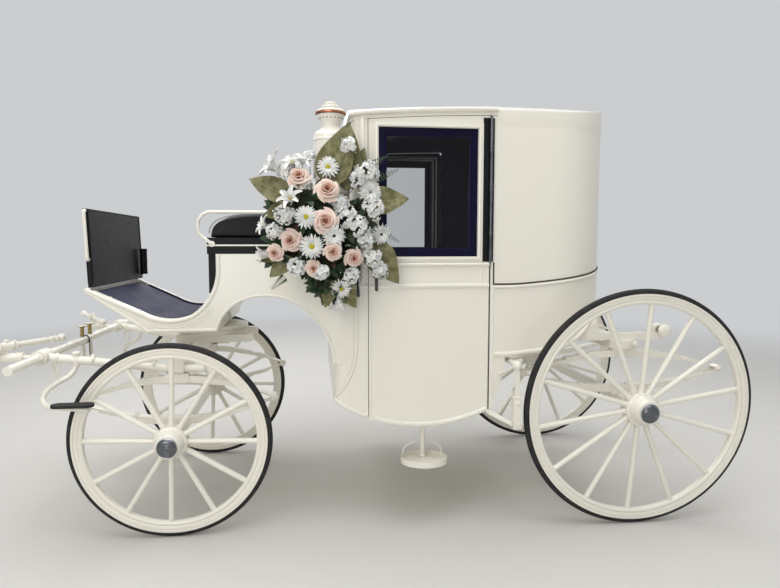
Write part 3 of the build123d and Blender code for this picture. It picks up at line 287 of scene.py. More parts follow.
def turn_profile(maker, frame_matrix, profile, steps=round_steps):
    """Turns a (radius, height) profile about the frame's Z; a zero radius closes it."""
    rings = []
    for step in range(steps):
        angle = 2 * math.pi * step / steps
        rings.append([frame_matrix @ Vector((r * math.cos(angle), r * math.sin(angle), h))
                      for r, h in profile])
    closed = profile[0] == profile[-1]
    if closed:
        rings = [ring[:-1] for ring in rings]
    join_rings(maker, rings, closed_ring=closed, closed_run=True)


def wheel_frame(end, side):
    """The wheel's own frame: origin at its centre, Z outward along the axle arm."""
    low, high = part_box(f"tyre_{end}_{'left' if side > 0 else 'right'}")
    outward = Vector((0, side * math.cos(wheel_camber), -math.sin(wheel_camber)))
    ahead = Vector((1, 0, 0))
    up = outward.cross(ahead) * side
    matrix = Matrix((ahead, up, outward)).transposed().to_4x4()
    matrix.translation = (low + high) / 2
    return matrix, (high.x - low.x) / 2


def felloe_profile(outer):
    """Section of the bent rim, with a scratched groove on each face, and its steel channel."""
    inner = outer - felloe_depth
    half = felloe_half_width
    right = [(inner, half - 0.008), (inner + 0.003, half - 0.003), (inner + 0.008, half),
             (inner + 0.017, half), (inner + 0.019, half - 0.002), (inner + 0.021, half),
             (outer - 0.012, half), (outer - 0.0105, half - 0.0025), (outer - 0.009, half - 0.0025),
             (outer - 0.007, half + 0.001), (outer + 0.002, half + 0.001), (outer + 0.002, half - 0.002)]
    left = [(r, -h) for r, h in reversed(right)]
    return right + [(outer, half - 0.002), (outer, 2e-3 - half)] + left + [right[0]]


def hub_profile(flange, nose):
    """Outline of the turned hub, from its inner collar out to the nose band."""
    inner = -0.088
    outer = 0.092
    return [(0, inner), (nose - 0.012, inner), (nose - 0.006, inner + 0.004), (nose - 0.004, inner + 0.018),
            (nose - 0.01, inner + 0.02), (nose, inner + 0.026), (flange - 0.012, -0.04),
            (flange - 0.003, -0.036), (flange, -0.032), (flange, -0.022), (flange - 0.004, -0.019),
            (flange - 0.004, 0.019), (flange, 0.022), (flange, 0.033), (flange - 0.003, 0.036),
            (flange - 0.009, 0.039), (nose + 0.012, 0.055), (nose + 0.004, 0.07), (nose + 0.003, 0.074),
            (nose + 0.005, 0.076), (nose + 0.005, 0.08), (nose + 0.002, 0.083), (nose, 0.087),
            (nose - 0.002, outer), (0.04, outer), (0, outer)]


def spoke(maker, matrix, angle, root, tip):
    """One spoke: oval with a square shouldered foot, slim waist and a round tongue."""
    along = Vector((math.sin(angle), math.cos(angle), 0))
    across = Vector((math.cos(angle), -math.sin(angle), 0))
    # distance from the hub, half width in the wheel's plane, half width along the axle
    stations = [(0.0, 0.017, 0.019), (0.022, 0.0165, 0.0185), (0.05, 0.0135, 0.0165),
                (0.09, 0.0125, 0.0155), (0.5, 0.0125, 0.0145), (0.9, 0.0125, 0.0135), (1.0, 0.013, 0.0135)]
    rings = []
    for share, wide, deep in stations:
        reach = root + share * (tip - root)
        rings.append([matrix @ (along * reach + across * (wide * math.cos(t)) + Vector((0, 0, deep * math.sin(t))))
                      for t in (2 * math.pi * k / 14 for k in range(14))])
    join_rings(maker, rings)


for end in ("front", "rear"):
    for side_name, side in sides:
        matrix, radius = wheel_frame(end, side)
        body = f"wheel_{end}_{side_name}"
        felloe_outer = radius - tyre_depth

        def wheel_wood(maker):
            turn_profile(maker, matrix, felloe_profile(felloe_outer))
            turn_profile(maker, matrix, hub_profile(flange_radius[end], nose_radius[end]), 64)
            for number in range(spoke_counts[end]):
                angle = math.radians(spoke_phase[end] + 360 / spoke_counts[end] * number)
                spoke(maker, matrix, angle, flange_radius[end] - 0.012, felloe_outer - felloe_depth + 0.004)

        def tyre_rubber_ring(maker):
            half = tyre_half_width
            section = [(felloe_outer + 1e-4, -half), (felloe_outer + 0.008, -half - 0.0005)]
            for k in range(9):
                swing = math.pi * (k / 8 - 0.5)
                section.append((radius - half + half * math.cos(swing), half * math.sin(swing)))
            section += [(felloe_outer + 0.008, half + 0.0005), (felloe_outer + 1e-4, half),
                        (felloe_outer + 1e-4, -half)]
            turn_profile(maker, matrix, section)

        def cap_dome(maker):
            turn_profile(maker, matrix, [
                (0, cap_foot), (0.0425, cap_foot), (0.0425, cap_foot + 0.0088), (0.0405, cap_foot + 0.0132),
                (0.0385, cap_foot + 0.015), (0.037, cap_foot + 0.0146), (0.0355, cap_foot + 0.0162),
                (0.031, cap_foot + 0.0178), (0.0298, cap_foot + 0.0172), (0.0282, cap_foot + 0.0187),
                (0.0215, cap_foot + 0.0196), (0.0203, cap_foot + 0.0189), (0.0188, cap_foot + 0.0199),
                (0.012, cap_foot + 0.0203), (0.0108, cap_foot + 0.0197), (0.0095, cap_foot + 0.0204),
                (0, cap_foot + 0.0205)], 64)

        def cap_rim(maker):
            turn_profile(maker, matrix, [
                (0.041, cap_foot), (0.0465, cap_foot), (0.047, cap_foot + 0.0015), (0.047, cap_foot + 0.0055),
                (0.046, cap_foot + 0.0075), (0.044, cap_foot + 0.0082), (0.0422, cap_foot + 0.0076),
                (0.041, cap_foot + 0.006), (0.041, cap_foot)], 64)

        build(f"wheel_wood_{end}_{side_name}", wheel_wood, ivory_enamel, body,
              f"wheel_{end}_{side_name}", 50)
        build(f"tyre_ring_{end}_{side_name}", tyre_rubber_ring, tyre_rubber, body,
              f"tyre_{end}_{side_name}")
        for name, maker, finish in (("axle_cap", cap_dome, cap_steel), ("cap_rim", cap_rim, rim_steel)):
            build(f"{name}_{end}_{side_name}", maker, finish, body, f"hub_cap_{end}_{side_name}")

# Cab: ash framed panels under the same enamel, with an arched rocker, a tail
# tucked up over the rear gear, and half-round mouldings pinned along every
# edge and joint.  Inside, walls and doors are lined with dark blue cloth.
half_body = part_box("lower_body")[1].y
rear_setback = front_axle.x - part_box("lower_body")[0].x
rear_corner = 0.35
well_setback = front_axle.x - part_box("lower_body")[1].x
cab_setback = front_axle.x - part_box("front_wall")[1].x
front_corner = 0.06
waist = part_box("front_wall")[0].z
roof_crown = 0.1
roof_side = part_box("roof")[1].z - roof_crown
roof_peak_setback = 1.62
roof_arch_radius = 9.0
door_front = 0.905
door_rear = 1.49
door_gap = 0.007


def dress(material, *nodes):
    """Gives these CAD nodes one finish."""
    for node in nodes:
        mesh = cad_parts[node].data
        mesh.materials.clear()
        mesh.materials.append(material)


def half_round(half_width, depth, steps=8):
    """Section of a half-round bead as (across, outward) pairs, its back let in a little."""
    curve = [(half_width * math.cos(math.pi * k / steps), depth * math.sin(math.pi * k / steps))
             for k in range(steps + 1)]
    return curve + [(-half_width, -0.002), (half_width, -0.002)]


def round_cord(radius, steps=10):
    """Section of a round cord or rod."""
    return [(radius * math.cos(2 * math.pi * k / steps), radius * math.sin(2 * math.pi * k / steps))
            for k in range(steps)]


def run_section(maker, run, section, closed=False):
    """Sweeps a section along a run of (point, outward) pairs, mitred at its corners."""
    count = len(run)
    rings = []
    for i, (point, outward) in enumerate(run):
        arriving = leaving = None
        if closed or i > 0:
            arriving = (point - run[i - 1][0]).normalized()
        if closed or i < count - 1:
            leaving = (run[(i + 1) % count][0] - point).normalized()
        arriving = arriving or leaving
        leaving = leaving or arriving
        ahead = (arriving + leaving).normalized()
        stretch = 1 / max(ahead.dot(leaving), 0.35)
        across = ahead.cross(outward).normalized()
        rings.append([point + across * (a * stretch) + outward * o for a, o in section])
    join_rings(maker, rings, closed_run=closed)


def smooth_path(points, per_span=6):
    """Points of a smooth curve through these points."""
    points = [Vector(p) for p in points]
    path = []
    for i in range(len(points) - 1):
        p0 = points[max(i - 1, 0)]
        p1, p2 = points[i], points[i + 1]
        p3 = points[min(i + 2, len(points) - 1)]
        for k in range(per_span):
            t = k / per_span
            path.append(0.5 * ((2 * p1) + (p2 - p0) * t + (2 * p0 - 5 * p1 + 4 * p2 - p3) * t * t
                               + (3 * p1 - p0 - 3 * p2 + p3) * t ** 3))
    return path + [points[-1]]


def arc_through(first, middle, last, steps=12):
    """Points of the circle's arc through three (setback, height) points."""
    (ax, ay), (bx, by), (cx, cy) = first, middle, last
    d = 2 * (ax * (by - cy) + bx * (cy - ay) + cx * (ay - by))
    a2, b2, c2 = ax ** 2 + ay ** 2, bx ** 2 + by ** 2, cx ** 2 + cy ** 2
    ux = (a2 * (by - cy) + b2 * (cy - ay) + c2 * (ay - by)) / d
    uy = (a2 * (cx - bx) + b2 * (ax - cx) + c2 * (bx - ax)) / d
    radius = math.hypot(ax - ux, ay - uy)
    start = math.atan2(ay - uy, ax - ux)
    sweep = math.remainder(math.atan2(cy - uy, cx - ux) - start, 2 * math.pi)
    return [(ux + radius * math.cos(start + sweep * k / steps), uy + radius * math.sin(start + sweep * k / steps))
            for k in range(steps + 1)]


def wall(setback, level, side):
    """Point and outward direction on the cab's wall, round its corners."""
    front = well_setback if level < waist else cab_setback
    in_front = front + front_corner - setback
    in_back = setback - (rear_setback - rear_corner)
    if in_front > 0:
        turn = math.asin(min(in_front / front_corner, 1))
        outward = Vector((math.sin(turn), side * math.cos(turn), 0))
        pivot = spot(front + front_corner, side * (half_body - front_corner), level)
        return pivot + outward * front_corner, outward
    if in_back > 0:
        turn = math.asin(min(in_back / rear_corner, 1))
        outward = Vector((-math.sin(turn), side * math.cos(turn), 0))
        pivot = spot(rear_setback - rear_corner, side * (half_body - rear_corner), level)
        return pivot + outward * rear_corner, outward
    return spot(setback, side * half_body, level), Vector((0, side, 0))


def wall_run(points, side):
    """A run on the wall through these (setback, height) points."""
    return [wall(setback, level, side) for setback, level in points]


def round_end(start_setback, level, end="back", out=0.0, steps=16):
    """A run on the wall from a station on the left, round the back or front, to the right."""
    ahead = -1 if end == "back" else 1
    corner = rear_corner if end == "back" else front_corner
    pivot_setback = rear_setback - rear_corner if end == "back" else cab_setback + front_corner
    left = []
    for k in range(8):
        setback = start_setback + (pivot_setback - start_setback) * k / 8
        left.append((spot(setback, half_body + out, 0), Vector((0, 1, 0))))
    for k in range(steps + 1):
        turn = math.pi / 2 * k / steps
        outward = Vector((ahead * math.sin(turn), math.cos(turn), 0))
        pivot = spot(pivot_setback, half_body - corner, 0)
        left.append((pivot + outward * (corner + out), outward))
    right = [(Vector((p.x, -p.y, 0)), Vector((n.x, -n.y, 0))) for p, n in reversed(left)]
    return [(Vector((p.x, p.y, level(p, n))), n) for p, n in left + right]


def roof_level(point):
    """Height of the roof's side edge at a point."""
    return roof_side - (point.x - behind(roof_peak_setback)) ** 2 / (2 * roof_arch_radius)


# The same enamel, lined with blue cloth on every face that looks inward.
lining_blue = "#2B2F5C"
weave_per_metre = 900
lined_enamel = ivory_enamel.copy()
lined_enamel.name = "cloth_lined_enamel"
tree = lined_enamel.node_tree
shader = tree.nodes["Principled BSDF"]
place = add_node(tree, "ShaderNodeTexCoord").outputs["Object"]
normal = add_node(tree, "ShaderNodeVectorTransform", {
    0: add_node(tree, "ShaderNodeNewGeometry").outputs["Normal"]},
    vector_type="NORMAL", convert_from="WORLD", convert_to="OBJECT")
from_middle = add_node(tree, "ShaderNodeVectorMath", {
    0: place, 1: (behind(1.5), 0, 1.35)}, operation="SUBTRACT")
facing = add_node(tree, "ShaderNodeVectorMath", {
    0: from_middle.outputs[0], 1: normal.outputs[0]}, operation="DOT_PRODUCT")
inward = add_node(tree, "ShaderNodeMath", {0: facing.outputs["Value"], 1: 0.0}, operation="LESS_THAN")
weave = pattern(tree, "Noise", {"Scale": weave_per_metre, "Detail": 2})
weave_ramp = add_node(tree, "ShaderNodeValToRGB", {"Fac": weave})
weave_ramp.color_ramp.elements[0].color = linear("#171A38")
weave_ramp.color_ramp.elements[1].color = linear(lining_blue)
paint_colour = shader.inputs["Base Color"].links[0].from_socket
lined_colour = add_node(tree, "ShaderNodeMix", {
    "Factor": inward.outputs[0], "A": paint_colour, "B": weave_ramp.outputs["Color"]}, data_type="RGBA")
tree.links.new(lined_colour.outputs["Result"], shader.inputs["Base Color"])
paint_roughness = shader.inputs["Roughness"].links[0].from_socket
lined_roughness = add_node(tree, "ShaderNodeMix", {"Factor": inward.outputs[0], "A": paint_roughness, "B": 0.9})
tree.links.new(lined_roughness.outputs["Result"], shader.inputs["Roughness"])

dress(lined_enamel, "lower_body", "front_wall", "back_panel", "roof", "door_left", "door_right")
dress(ivory_enamel, "boot", "footboard", "rear_bolster", "pump_handles", "door_steps",
      "axle_front", "axle_rear", "springs_front", "springs_rear", "fore_carriage", "turntable_upper",
      "turntable_lower", "splinter_bar", "single_tree_left", "single_tree_right", "grab_rails")

rocker = arc_through((well_setback - 0.012, 0.6234), (1.181, 0.484), (1.5, 0.562), 32)
tail = arc_through((1.85, 0.842), (2.0431, 0.9604), (2.162, 1.165), 22)
rocker_lift = 0.013
bead_width = 0.0115
bead_depth = 0.008
quarter_setback = 1.505


def quarter_level(point, outward):
    """Height of the quarter's edge line, which sweeps up from behind the door and round the rear corner."""
    flat = min(max(behind(1.6) - point.x, 0), rear_setback - rear_corner - 1.6)
    along = flat + rear_corner * math.asin(max(min(-outward.x, 1), 0))
    return waist + 0.002 + 0.1365 * along ** 1.3


def cab_mouldings(maker):
    for side in (1, -1):
        front_rocker = [(s, z + rocker_lift) for s, z in rocker if well_setback < s < door_front]
        front_rocker.append((door_front - 0.002, front_rocker[-1][1] - 0.001))
        run_section(maker, wall_run(front_rocker, side), half_round(bead_width, bead_depth))
        sweep_line = smooth_path([(0.853, 1.15), (0.851, 1.02), (0.849, 0.88), (0.84, 0.8), (0.818, 0.738),
                                  (0.784, 0.68), (0.752, 0.64)])
        run_section(maker, wall_run(sweep_line, side), half_round(0.0085, 0.007))
        run_section(maker, wall_run([(s - 0.013, z - 0.002) for s, z in sweep_line], side), half_round(0.0025, 0.003))
        run_section(maker, wall_run([(0.845, waist - 0.004), (door_front - 0.003, waist - 0.004)], side),
                    half_round(bead_width, bead_depth + 0.001))
        for setback, half_width in ((0.853, 0.0115), (0.881, 0.013)):
            top = roof_level(wall(setback, 1.9, side)[0]) - 0.022
            upright = [(setback, waist + 0.009), (setback, top)]
            run_section(maker, wall_run(upright, side), half_round(half_width, 0.006))
        lower_tail = [(1.512, 0.829), (1.56, 0.8275), (1.6, 0.8285), (1.72, 0.841), (1.84, 0.854)]
        lower_tail += [(s - 0.003, z + 0.013) for s, z in tail[2:] if s < rear_setback - 0.001]
        run_section(maker, wall_run(lower_tail, side), half_round(bead_width, bead_depth))
        run_section(maker, wall_run([(quarter_setback, 0.62), (quarter_setback, waist - 0.02)], side),
                    half_round(0.004, 0.003))
    run_section(maker, round_end(quarter_setback, lambda p, n: quarter_level(p, n) - 0.013),
                half_round(0.008, 0.008))


def drip_cornice(maker):
    cornice = [(-0.014, -0.002), (-0.014, 0.006), (-0.011, 0.0065), (-0.009, 0.004), (-0.0075, 0.004),
               (-0.006, 0.0125), (-0.002, 0.0165), (0.004, 0.018), (0.01, 0.0165), (0.0135, 0.012),
               (0.0145, 0.004), (0.0145, -0.002)]
    run_section(maker, round_end(quarter_setback + 0.008, lambda p, n: roof_level(p) - 0.003, "front", steps=8),
                cornice)


def hood_band(maker):
    """Feathers the roof's edge into the quarter below it."""
    run_section(maker, round_end(quarter_setback + 0.009, lambda p, n: roof_level(p) - 0.026), [
        (-0.0255, 0.002), (-0.0235, 0.0036), (-0.002, 0.0038), (0.008, 0.0036), (0.02, 0.0027), (0.034, 0.0013),
        (0.05, 0.0001), (0.05, -0.0015), (-0.0255, -0.0015)])


def quarter_edge(maker):
    run = round_end(quarter_setback, quarter_level, out=0.0015)
    ends = [(quarter_setback, 1.271), (quarter_setback, 1.22)]
    run_section(maker, wall_run(ends, 1) + run + wall_run(ends[::-1], -1), round_cord(0.0036, 8))


for name, maker in (("cab_mouldings", cab_mouldings), ("drip_cornice", drip_cornice), ("hood_band", hood_band)):
    build(name, maker, ivory_enamel, "carriage")

# Leather: black hide, pebbled by its grain and creased where it is pulled, with
# worn greyish high spots and a soft polish.
grain_per_metre = 420
black_leather, tree, shader = new_material("black_coach_leather", {"IOR": 1.5, "Specular IOR Level": 0.22})
pebble = pattern(tree, "Voronoi", {"Scale": grain_per_metre, "Randomness": 0.9}, "Distance", feature="SMOOTH_F1")
crease = pattern(tree, "Noise", {"Scale": 24, "Detail": 5, "Distortion": 0.6})
carry(tree, shader, crease, ("#050609", "#12131A"), (0.35, 0.8), rough=(0.36, 0.58))
grain_height = add_node(tree, "ShaderNodeMix", {"Factor": 0.35, "A": pebble, "B": crease})
carry(tree, shader, grain_height.outputs["Result"], bump=(0.35, 0.0008))

# Dark piping: brown waxed cord sewn in along the quarter's edge.
brown_cord, tree, shader = new_material("waxed_brown_cord", {"Roughness": 0.6})
twist = pattern(tree, "Wave", {"Scale": 110, "Distortion": 1.5}, bands_direction="DIAGONAL")
carry(tree, shader, twist, ("#2A1F18", "#4A382B"))
build("quarter_edge", quarter_edge, brown_cord, "carriage")

# Doors: a stepped frame round the window, a rail and a waist bead that carry
# on the cab's lines, and thin beads down both edges.
navy_paint, tree, shader = new_material("navy_coach_paint", {"IOR": 1.5, "Specular IOR Level": 0.12})
brushed = pattern(tree, "Noise", {"Scale": 14, "Detail": 4})
carry(tree, shader, brushed, ("#0B0926", "#131030"), rough=(0.2, 0.4), bump=(0.1, 0.0005))

clear_glass = bpy.data.materials.new("clear_plate_glass")
clear_glass.use_nodes = True
tree = clear_glass.node_tree
tree.nodes.remove(tree.nodes["Principled BSDF"])
smear = pattern(tree, "Noise", {"Scale": 5, "Detail": 2})
smear_range = add_node(tree, "ShaderNodeMapRange", {"Value": smear, "To Min": 0, "To Max": 0.04})
mirror = add_node(tree, "ShaderNodeBsdfGlossy", {
    "Color": linear("#868686"), "Roughness": smear_range.outputs["Result"]})
through = add_node(tree, "ShaderNodeBsdfTransparent", {"Color": linear("#F6F7F7")})
edge_on = add_node(tree, "ShaderNodeFresnel", {"IOR": 1.5})
pane = add_node(tree, "ShaderNodeMixShader", {
    0: edge_on.outputs[0], 1: through.outputs[0], 2: mirror.outputs[0]})
tree.links.new(pane.outputs[0], tree.nodes["Material Output"].inputs["Surface"])
dress(clear_glass, "door_glass_left", "door_glass_right", "cab_glass")

window_left, window_right = 0.955, 1.424
window_low, window_high = 1.298, 1.893
frame_section = [(-0.013, -0.002), (-0.013, 0.0035), (-0.005, 0.0035), (-0.003, 0.009), (0.003, 0.0115),
                 (0.009, 0.009), (0.012, 0.003), (0.012, -0.002)]


def window_corners(grow, facing, head=1):
    """Corners of the door's window, grown outwards, in the order that suits the side it faces."""
    left, right = window_left - grow, window_right + grow
    low, high = window_low - grow, window_high + grow * head
    corners = [(left, high), (right, high), (right, low), (left, low)]
    return corners if facing > 0 else corners[::-1]


for side_name, side in sides:
    def door_mouldings(maker):
        run_section(maker, wall_run(window_corners(0.011, side), side), frame_section, closed=True)
        first, last = door_front + door_gap + 0.001, door_rear - door_gap - 0.001
        run_section(maker, wall_run([(first, 1.262), (last, 1.262)], side), half_round(0.009, 0.013))
        run_section(maker, wall_run([(first, waist - 0.004), (last, waist - 0.004)], side),
                    half_round(bead_width, bead_depth + 0.001))
        run_section(maker, wall_run([(1.446, waist + 0.009), (1.446, 1.252)], side), half_round(0.005, 0.004))
        run_section(maker, wall_run([(0.94, waist + 0.009), (0.94, 1.252)], side), half_round(0.005, 0.004))
        door_rocker = [(s, z + rocker_lift) for s, z in rocker if first < s < last]
        lip_head = roof_level(wall(first, 1.9, side)[0]) - 0.0315
        lip_foot = door_rocker[0][1] - rocker_lift + 0.004
        lip = [(-0.0034, -0.01), (-0.0034, 0.0006), (0.0034, 0.0006), (0.0034, -0.01)]
        run_section(maker, wall_run([(first - 0.0016, lip_foot), (first - 0.0016, lip_head)], side), lip)
        head_line = [first - 0.004 + (last - first) * k / 8 for k in range(9)]
        run_section(maker, [wall(s, roof_level(wall(s, 1.9, side)[0]) - 0.0312, side) for s in head_line], lip)
        run_section(maker, wall_run(door_rocker, side), half_round(bead_width, bead_depth))
        for setback in (first + 0.004, last - 0.004):
            foot = min(door_rocker, key=lambda p: abs(p[0] - setback))[1] + 0.012
            head = roof_level(wall(setback, 1.9, side)[0]) - 0.045
            spans = [(foot, waist - 0.018), (waist + 0.009, 1.251)]
            if setback < door_rear / 2 + door_front / 2:
                spans.append((1.273, head))
            for low, high in spans:
                run_section(maker, wall_run([(setback, low), (setback, high)], side), half_round(0.0035, 0.0035))

    build(f"door_mouldings_{side_name}", door_mouldings, ivory_enamel, f"door_{side_name}")

    def sash_frame(maker):
        middle = half_body - 0.019
        run = [(spot(s, side * middle, z), Vector((0, side, 0))) for s, z in window_corners(0, side)]
        wood = [(0.0, -0.009), (0.0, 0.009), (0.028, 0.009), (0.03, 0.0065), (0.033, 0.006), (0.04, 0.003),
                (0.04, -0.003), (0.034, -0.009)]
        run_section(maker, run, wood, closed=True)

    build(f"sash_frame_{side_name}", sash_frame, navy_paint, f"door_{side_name}",
          f"door_sash_{side_name}")

# Hinge covers: a strip of hide nailed over the hinge side of each door, and a
# grey steel rod standing off it in three turned collars.
grey_steel, tree, shader = new_material("grey_hinge_steel", {"Metallic": 0.85, "Roughness": 0.38})
tarnish = pattern(tree, "Noise", {"Scale": 30, "Detail": 5})
carry(tree, shader, tarnish, ("#45484E", "#7A7D82"), rough=(0.28, 0.5))

hinge_low, hinge_high = 1.273, 1.944
hinge_setback = 1.484


def axis_frame(origin, axis):
    """Frame whose Z runs along an axis from an origin."""
    matrix = Vector(axis).to_track_quat("Z", "Y").to_matrix().to_4x4()
    matrix.translation = origin
    return matrix


def turned(maker, origin, axis, profile, steps=20):
    """Turns a (radius, distance) profile about an axis through an origin."""
    turn_profile(maker, axis_frame(Vector(origin), axis), profile, steps)


def block(maker, middle, half, axes=None, bevel=0.0015):
    """A block with its edges taken off, on given or level axes."""
    frame_axes = axes or Matrix.Identity(3)
    made = bmesh.ops.create_cube(maker, size=1.0)["verts"]
    for vert in made:
        vert.co = Vector(middle) + frame_axes @ Vector([2 * c * h for c, h in zip(vert.co, half)])
    edges = {edge for vert in made for edge in vert.link_edges}
    bmesh.ops.bevel(maker, geom=list(edges), offset=bevel, segments=2, affect="EDGES", profile=0.7)


def hinge_strips(maker):
    for side in (1, -1):
        face = side * (half_body + 0.0055)
        block(maker, (behind(1.4925), face, (hinge_low + hinge_high) / 2),
              (0.0065, 0.0045, (hinge_high - hinge_low) / 2 - 0.002), bevel=0.003)


def hinge_rods(maker):
    for side in (1, -1):
        foot = (behind(hinge_setback), side * (half_body + 0.012), hinge_low)
        length = hinge_high - hinge_low
        profile = [(0, 0), (0.0068, 0), (0.0076, 0.003)]
        for level in (1.417, 1.623, 1.799):
            at = level - hinge_low
            profile += [(0.0062, at - 0.02), (0.0079, at - 0.016), (0.0079, at - 0.004), (0.0066, at),
                        (0.0079, at + 0.004), (0.0079, at + 0.016), (0.0062, at + 0.02)]
        profile += [(0.0076, length - 0.003), (0.0068, length), (0, length)]
        turned(maker, foot, (0, 0, 1), profile, 16)


build("hinge_strips", hinge_strips, black_leather, "carriage", "hinge_covers")
build("hinge_rods", hinge_rods, grey_steel, "carriage", "hinge_covers")

for side_name, side in sides:
    def door_strip(maker):
        block(maker, (behind(1.4645), side * (half_body + 0.0004), (hinge_low + hinge_high) / 2),
              (0.0175, 0.0022, (hinge_high - hinge_low) / 2 - 0.001))

    build(f"door_strip_{side_name}", door_strip, black_leather, f"door_{side_name}")

# Fittings: japanned black handles on the pillars and the doors' lever handles.
# The same black on the lamp chimney's hole plugs is painted shade, the dark inside of each hole.
japan_black_and_hole_shade, tree, shader = new_material("japanned_black_iron_and_hole_shade", {
    "IOR": 1.5, "Coat Weight": 0.6, "Coat Roughness": 0.12})
worn = pattern(tree, "Noise", {"Scale": 60, "Detail": 6, "Roughness": 0.7})
carry(tree, shader, worn, ("#0B0B0F", "#34343A"), (0.4, 0.85), rough=(0.25, 0.5))
dress(japan_black_and_hole_shade, "pillar_handles", "door_handle_left", "door_handle_right")

# Driver's box: moulded cheeks either side of a leather lined tray, a laced
# dashboard, and a wedge cushion on a dark base with one ivory line.
half_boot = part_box("footboard")[1].y
flare_start, flare_end = 0.4, 0.79
flare_rise = (half_body - half_boot) / 2
flare_radius = (((flare_end - flare_start) / 2) ** 2 + flare_rise ** 2) / (2 * flare_rise)
dress(black_leather, "dashboard", "seat_fall", "whip_socket", "seat_base")


def boot_side(setback, level, side):
    """Point and outward direction on the boot's flared side."""
    middle = (flare_start + flare_end) / 2
    into = min(max(setback - flare_start, 0), middle - flare_start)
    left = min(max(flare_end - setback, 0), middle - flare_start)
    if setback < middle:
        out = half_boot + flare_radius - math.sqrt(flare_radius ** 2 - into ** 2)
        slope = into / math.sqrt(flare_radius ** 2 - into ** 2)
    else:
        out = half_body - flare_radius + math.sqrt(flare_radius ** 2 - left ** 2)
        slope = left / math.sqrt(flare_radius ** 2 - left ** 2)
    return spot(setback, side * out, level), Vector((slope, side, 0)).normalized()


def parallel(points, drop):
    """Points of a (setback, height) line moved square to itself by a drop."""
    moved = []
    for i, (setback, level) in enumerate(points):
        ahead = Vector(points[min(i + 1, len(points) - 1)]) - Vector(points[max(i - 1, 0)])
        ahead.normalize()
        moved.append((setback + ahead.y * drop, level - ahead.x * drop))
    return moved


toe = [(-0.405, 1.153), (-0.33, 1.1174), (-0.25, 1.0795), (-0.19, 1.051)]
rim_line = toe + arc_through((-0.15, 1.032), (-0.02, 1), (0.07, 1.02), 12)
rim_line += arc_through((0.07, 1.02), (0.15, 1.1), (0.19, 1.25), 14)[1:]
arch_line = arc_through((0.19, 0.936), (0.228, 1.018), (0.3, 1.078), 8)
arch_line += arc_through((0.3, 1.078), (0.42, 1.102), (0.56, 1.072), 10)[1:]
arch_line += arc_through((0.56, 1.072), (0.68, 0.975), (0.742, 0.8), 12)[1:]


def box_mouldings(maker):
    for side in (1, -1):
        def on_side(points):
            return [boot_side(setback, level, side) for setback, level in points]

        run_section(maker, on_side(parallel(rim_line, 0.011) + [(0.201, 1.306)]), half_round(0.01, 0.006))
        for drop, width in ((0.034, 0.0022), (0.043, 0.0028), (0.053, 0.0022)):
            line = [p for p in parallel(rim_line, drop) if -0.36 + 2 * drop < p[0] < 0.125 + drop]
            run_section(maker, on_side(line), half_round(width, 0.0022))
        keel = [(-0.404, 1.133), (-0.148, 0.958), (-0.136, 0.945), (0.185, 0.945)]
        run_section(maker, on_side(keel), half_round(0.0075, 0.004))
        run_section(maker, on_side(parallel(arch_line, -0.008)), half_round(0.0065, 0.0045))
    toe_bar = [(spot(-0.4055, y, 1.143), Vector((1, 0, 0))) for y in (-half_boot + 0.001, half_boot - 0.001)]
    run_section(maker, toe_bar, half_round(0.01, 0.008))
    for side in (1, -1):
        for setback, level in ((-0.3, 1.103), (-0.17, 1.041), (0.155, 1.115)):
            point = spot(setback, side * (half_boot - 0.012), level)
            turned(maker, point, (0, 0, 1), [(0, 0), (0.007, 0), (0.007, 0.002), (0.005, 0.0055), (0, 0.0065)], 14)


build("box_mouldings", box_mouldings, ivory_enamel, "carriage")

# Tray lining: a ribbed rubber mat on the boards and dark hide up both cheeks.
rib_pitch_mm = 9
mat_rubber, tree, shader = new_material("ribbed_mat_rubber", {"IOR": 1.5, "Specular IOR Level": 0.2})
dusty = pattern(tree, "Noise", {"Scale": 12, "Detail": 6})
carry(tree, shader, dusty, ("#0E1030", "#1B1E42"), (0.3, 0.8), rough=(0.45, 0.75))
ribs = pattern(tree, "Wave", {"Scale": 1000 / rib_pitch_mm / 3.18, "Distortion": 0}, bands_direction="Y")
carry(tree, shader, ribs, bump=(0.3, 0.001))
dress(mat_rubber, "footboard_mat")
dress(tyre_rubber, "driver_step_pads")


def cheek_lining(maker):
    inner = half_boot - 0.03
    tray = [p for p in parallel(rim_line, 0.016) if p[0] > -0.385]
    edge = parallel(rim_line, 0.0015)
    upper = [p for p in edge if p[0] > -0.385][:len(tray)]
    for side in (1, -1):
        rings = []
        for (s0, z0), (s1, z1) in zip(tray, upper):
            rings.append([spot(s, side * (inner + out), z) for s, out, z in (
                (s0, -0.001, z0), (s1, -0.001, z1 - 0.003), (s1, 0.004, z1 + 0.001), (s1, 0.01, z1 + 0.0015),
                (s1, 0.01, z1), (s0, 0.001, z0))])
        join_rings(maker, rings)


build("cheek_lining", cheek_lining, black_leather, "carriage")

dash_low, dash_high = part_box("dashboard")


def dash_piping(maker):
    lean = 0.012
    foot, top = 1.172, dash_high.z - 0.004
    half = dash_high.y
    outline = [(-half + 0.006, foot), (-half + 0.006, top), (half - 0.006, top), (half - 0.006, foot)]
    for face, facing in ((dash_low.x + 0.0005, -1), (dash_high.x - lean - 0.0005, 1)):
        run = [(Vector((face + lean * (z - foot) / (top - foot), y, z)), Vector((facing, 0, 0))) for y, z in outline]
        run_section(maker, run, round_cord(0.0042, 8))


build("dash_piping", dash_piping, black_leather, "carriage")


def seat_line(maker):
    front, back, level = 0.15, 0.832, 1.351
    corners = [spot(setback, out, level) for setback, out in (
        (back, half_boot), (front, half_boot), (front, -half_boot), (back, -half_boot))]
    for start, end, facing in zip(corners, corners[1:], ((0, 1, 0), (1, 0, 0), (0, -1, 0))):
        run_section(maker, [(start, Vector(facing)), (end, Vector(facing))], half_round(0.0042, 0.0035))


build("seat_line", seat_line, ivory_enamel, "carriage")

